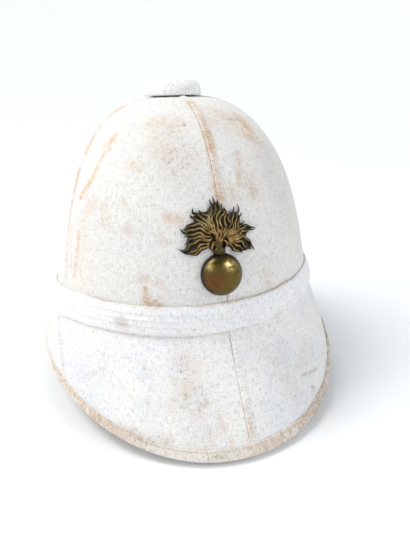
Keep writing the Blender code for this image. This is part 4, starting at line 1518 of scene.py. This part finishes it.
pith, tree, shader = start_material("bare_pith")
place = tree.nodes.new("ShaderNodeTexCoord").outputs["Object"]
streaks = grain(tree, place, STREAK_SCALE, 4, (1, 1, 5))
pores = grain(tree, place, PORE_SCALE, 3)
brown = blend(tree, steps(tree, streaks, 0.3, 0.7), (0.52, 0.39, 0.24, 1), (0.66, 0.54, 0.37, 1))
pitted = blend(tree, steps(tree, pores, 0.56, 0.70), brown, (0.34, 0.24, 0.14, 1))
tree.links.new(pitted, shader.inputs["Base Color"])
shader.inputs["Roughness"].default_value = 0.95
relief(tree, shader, calc(tree, "ADD", streaks, pores), PITH_BUMP)
shell_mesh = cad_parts["shell"].data
shell_mesh.materials.clear()
shell_mesh.materials.append(pith)
print("shell:", len(shell_mesh.polygons), "faces of", pith.name)

# %% [markdown]
# The helmet stands on a pale seamless surround: a floor that curves up into a wall all round, so no
# horizon shows from any side. A flat plane and a grey world would do for one view only. Far from the
# helmet the paper glows a little, so that it stays as white there as in a photo studio.

# %% Floor
FLOOR_RADIUS = 1.2
FLOOR_CURVE = 0.8
WALL_TOP = 2.6
FLOOR_SIDES = 96
GLOW = 0.18
GLOW_FROM = 0.22
GLOW_FULL = 0.80

surround = bmesh.new()
floor_profile = [(0, 0), (FLOOR_RADIUS, 0)]
for turn in np.linspace(0.1, pi / 2, 14):
    floor_profile.append((FLOOR_RADIUS + FLOOR_CURVE * sin(turn), FLOOR_CURVE - FLOOR_CURVE * cos(turn)))
floor_profile.append((FLOOR_RADIUS + FLOOR_CURVE, WALL_TOP))
spin_round(surround, floor_profile, FLOOR_SIDES)
floor_mesh = bpy.data.meshes.new("floor")
surround.to_mesh(floor_mesh)
surround.free()
floor_mesh.shade_smooth()
paper, tree, shader = start_material("pale_paper")
shader.inputs["Base Color"].default_value = (0.88, 0.89, 0.90, 1)
shader.inputs["Roughness"].default_value = 0.85
shader.inputs["Emission Color"].default_value = (1, 1, 1, 1)
measure = tree.nodes.new("ShaderNodeVectorMath")
measure.operation = "LENGTH"
tree.links.new(tree.nodes.new("ShaderNodeTexCoord").outputs["Object"], measure.inputs[0])
far_off = steps(tree, measure.outputs["Value"], GLOW_FROM, GLOW_FULL)
tree.links.new(calc(tree, "MULTIPLY", far_off, GLOW), shader.inputs["Emission Strength"])
floor_mesh.materials.append(paper)
floor = bpy.data.objects.new("floor", floor_mesh)
bpy.context.scene.collection.objects.link(floor)
print("floor:", len(floor_mesh.polygons), "faces")

# %% [markdown]
# Four soft lights show the form. A window and the sky above it light the wearer's right from the
# side. A small lamp in front, on the other side, gives the ball its highlight. A weak one behind keeps
# the back of the helmet from going grey. The world adds a faint bluish light, so the shaded cloth
# reads cool. One large light would be simpler, but the ball would then have no clear highlight.

# %% Lights
LIGHT_AIM = Vector((0, 0, 0.1))
LIGHT_DISTANCE = 1.35
WORLD_COLOUR = (0.90, 0.985, 1.06, 1)
WORLD_STRENGTH = 0.29
DAYLIGHT = (1.0, 0.985, 0.96)


def add_light(name, round_by, height, size, watts, colour):
    """Square soft light that faces the helmet, from an angle round it and an angle above the floor."""
    away = Vector((sin(round_by) * cos(height), -cos(round_by) * cos(height), sin(height)))
    at = LIGHT_AIM + away * LIGHT_DISTANCE
    data = bpy.data.lights.new(name, "AREA")
    data.size = size
    data.energy = watts
    data.color = colour
    light = bpy.data.objects.new(name, data)
    light.location = at
    light.rotation_euler = (-away).to_track_quat("-Z", "Y").to_euler()
    bpy.context.scene.collection.objects.link(light)


world = bpy.data.worlds.new("studio")
world.use_nodes = True
background = world.node_tree.nodes["Background"]
background.inputs[0].default_value = WORLD_COLOUR
background.inputs[1].default_value = WORLD_STRENGTH
bpy.context.scene.world = world
add_light("window", radians(-97), radians(34), 0.75, 5.3, DAYLIGHT)
add_light("skylight", radians(-100), radians(60), 0.5, 9.3, DAYLIGHT)
add_light("lamp", radians(38), radians(40), 0.38, 2.8, (0.95, 0.98, 1.0))
add_light("back_lamp", radians(170), radians(60), 0.6, 2.2, (1.0, 0.99, 0.96))
bpy.context.scene.view_settings.view_transform = "Standard"
print(len(bpy.data.lights), "lights")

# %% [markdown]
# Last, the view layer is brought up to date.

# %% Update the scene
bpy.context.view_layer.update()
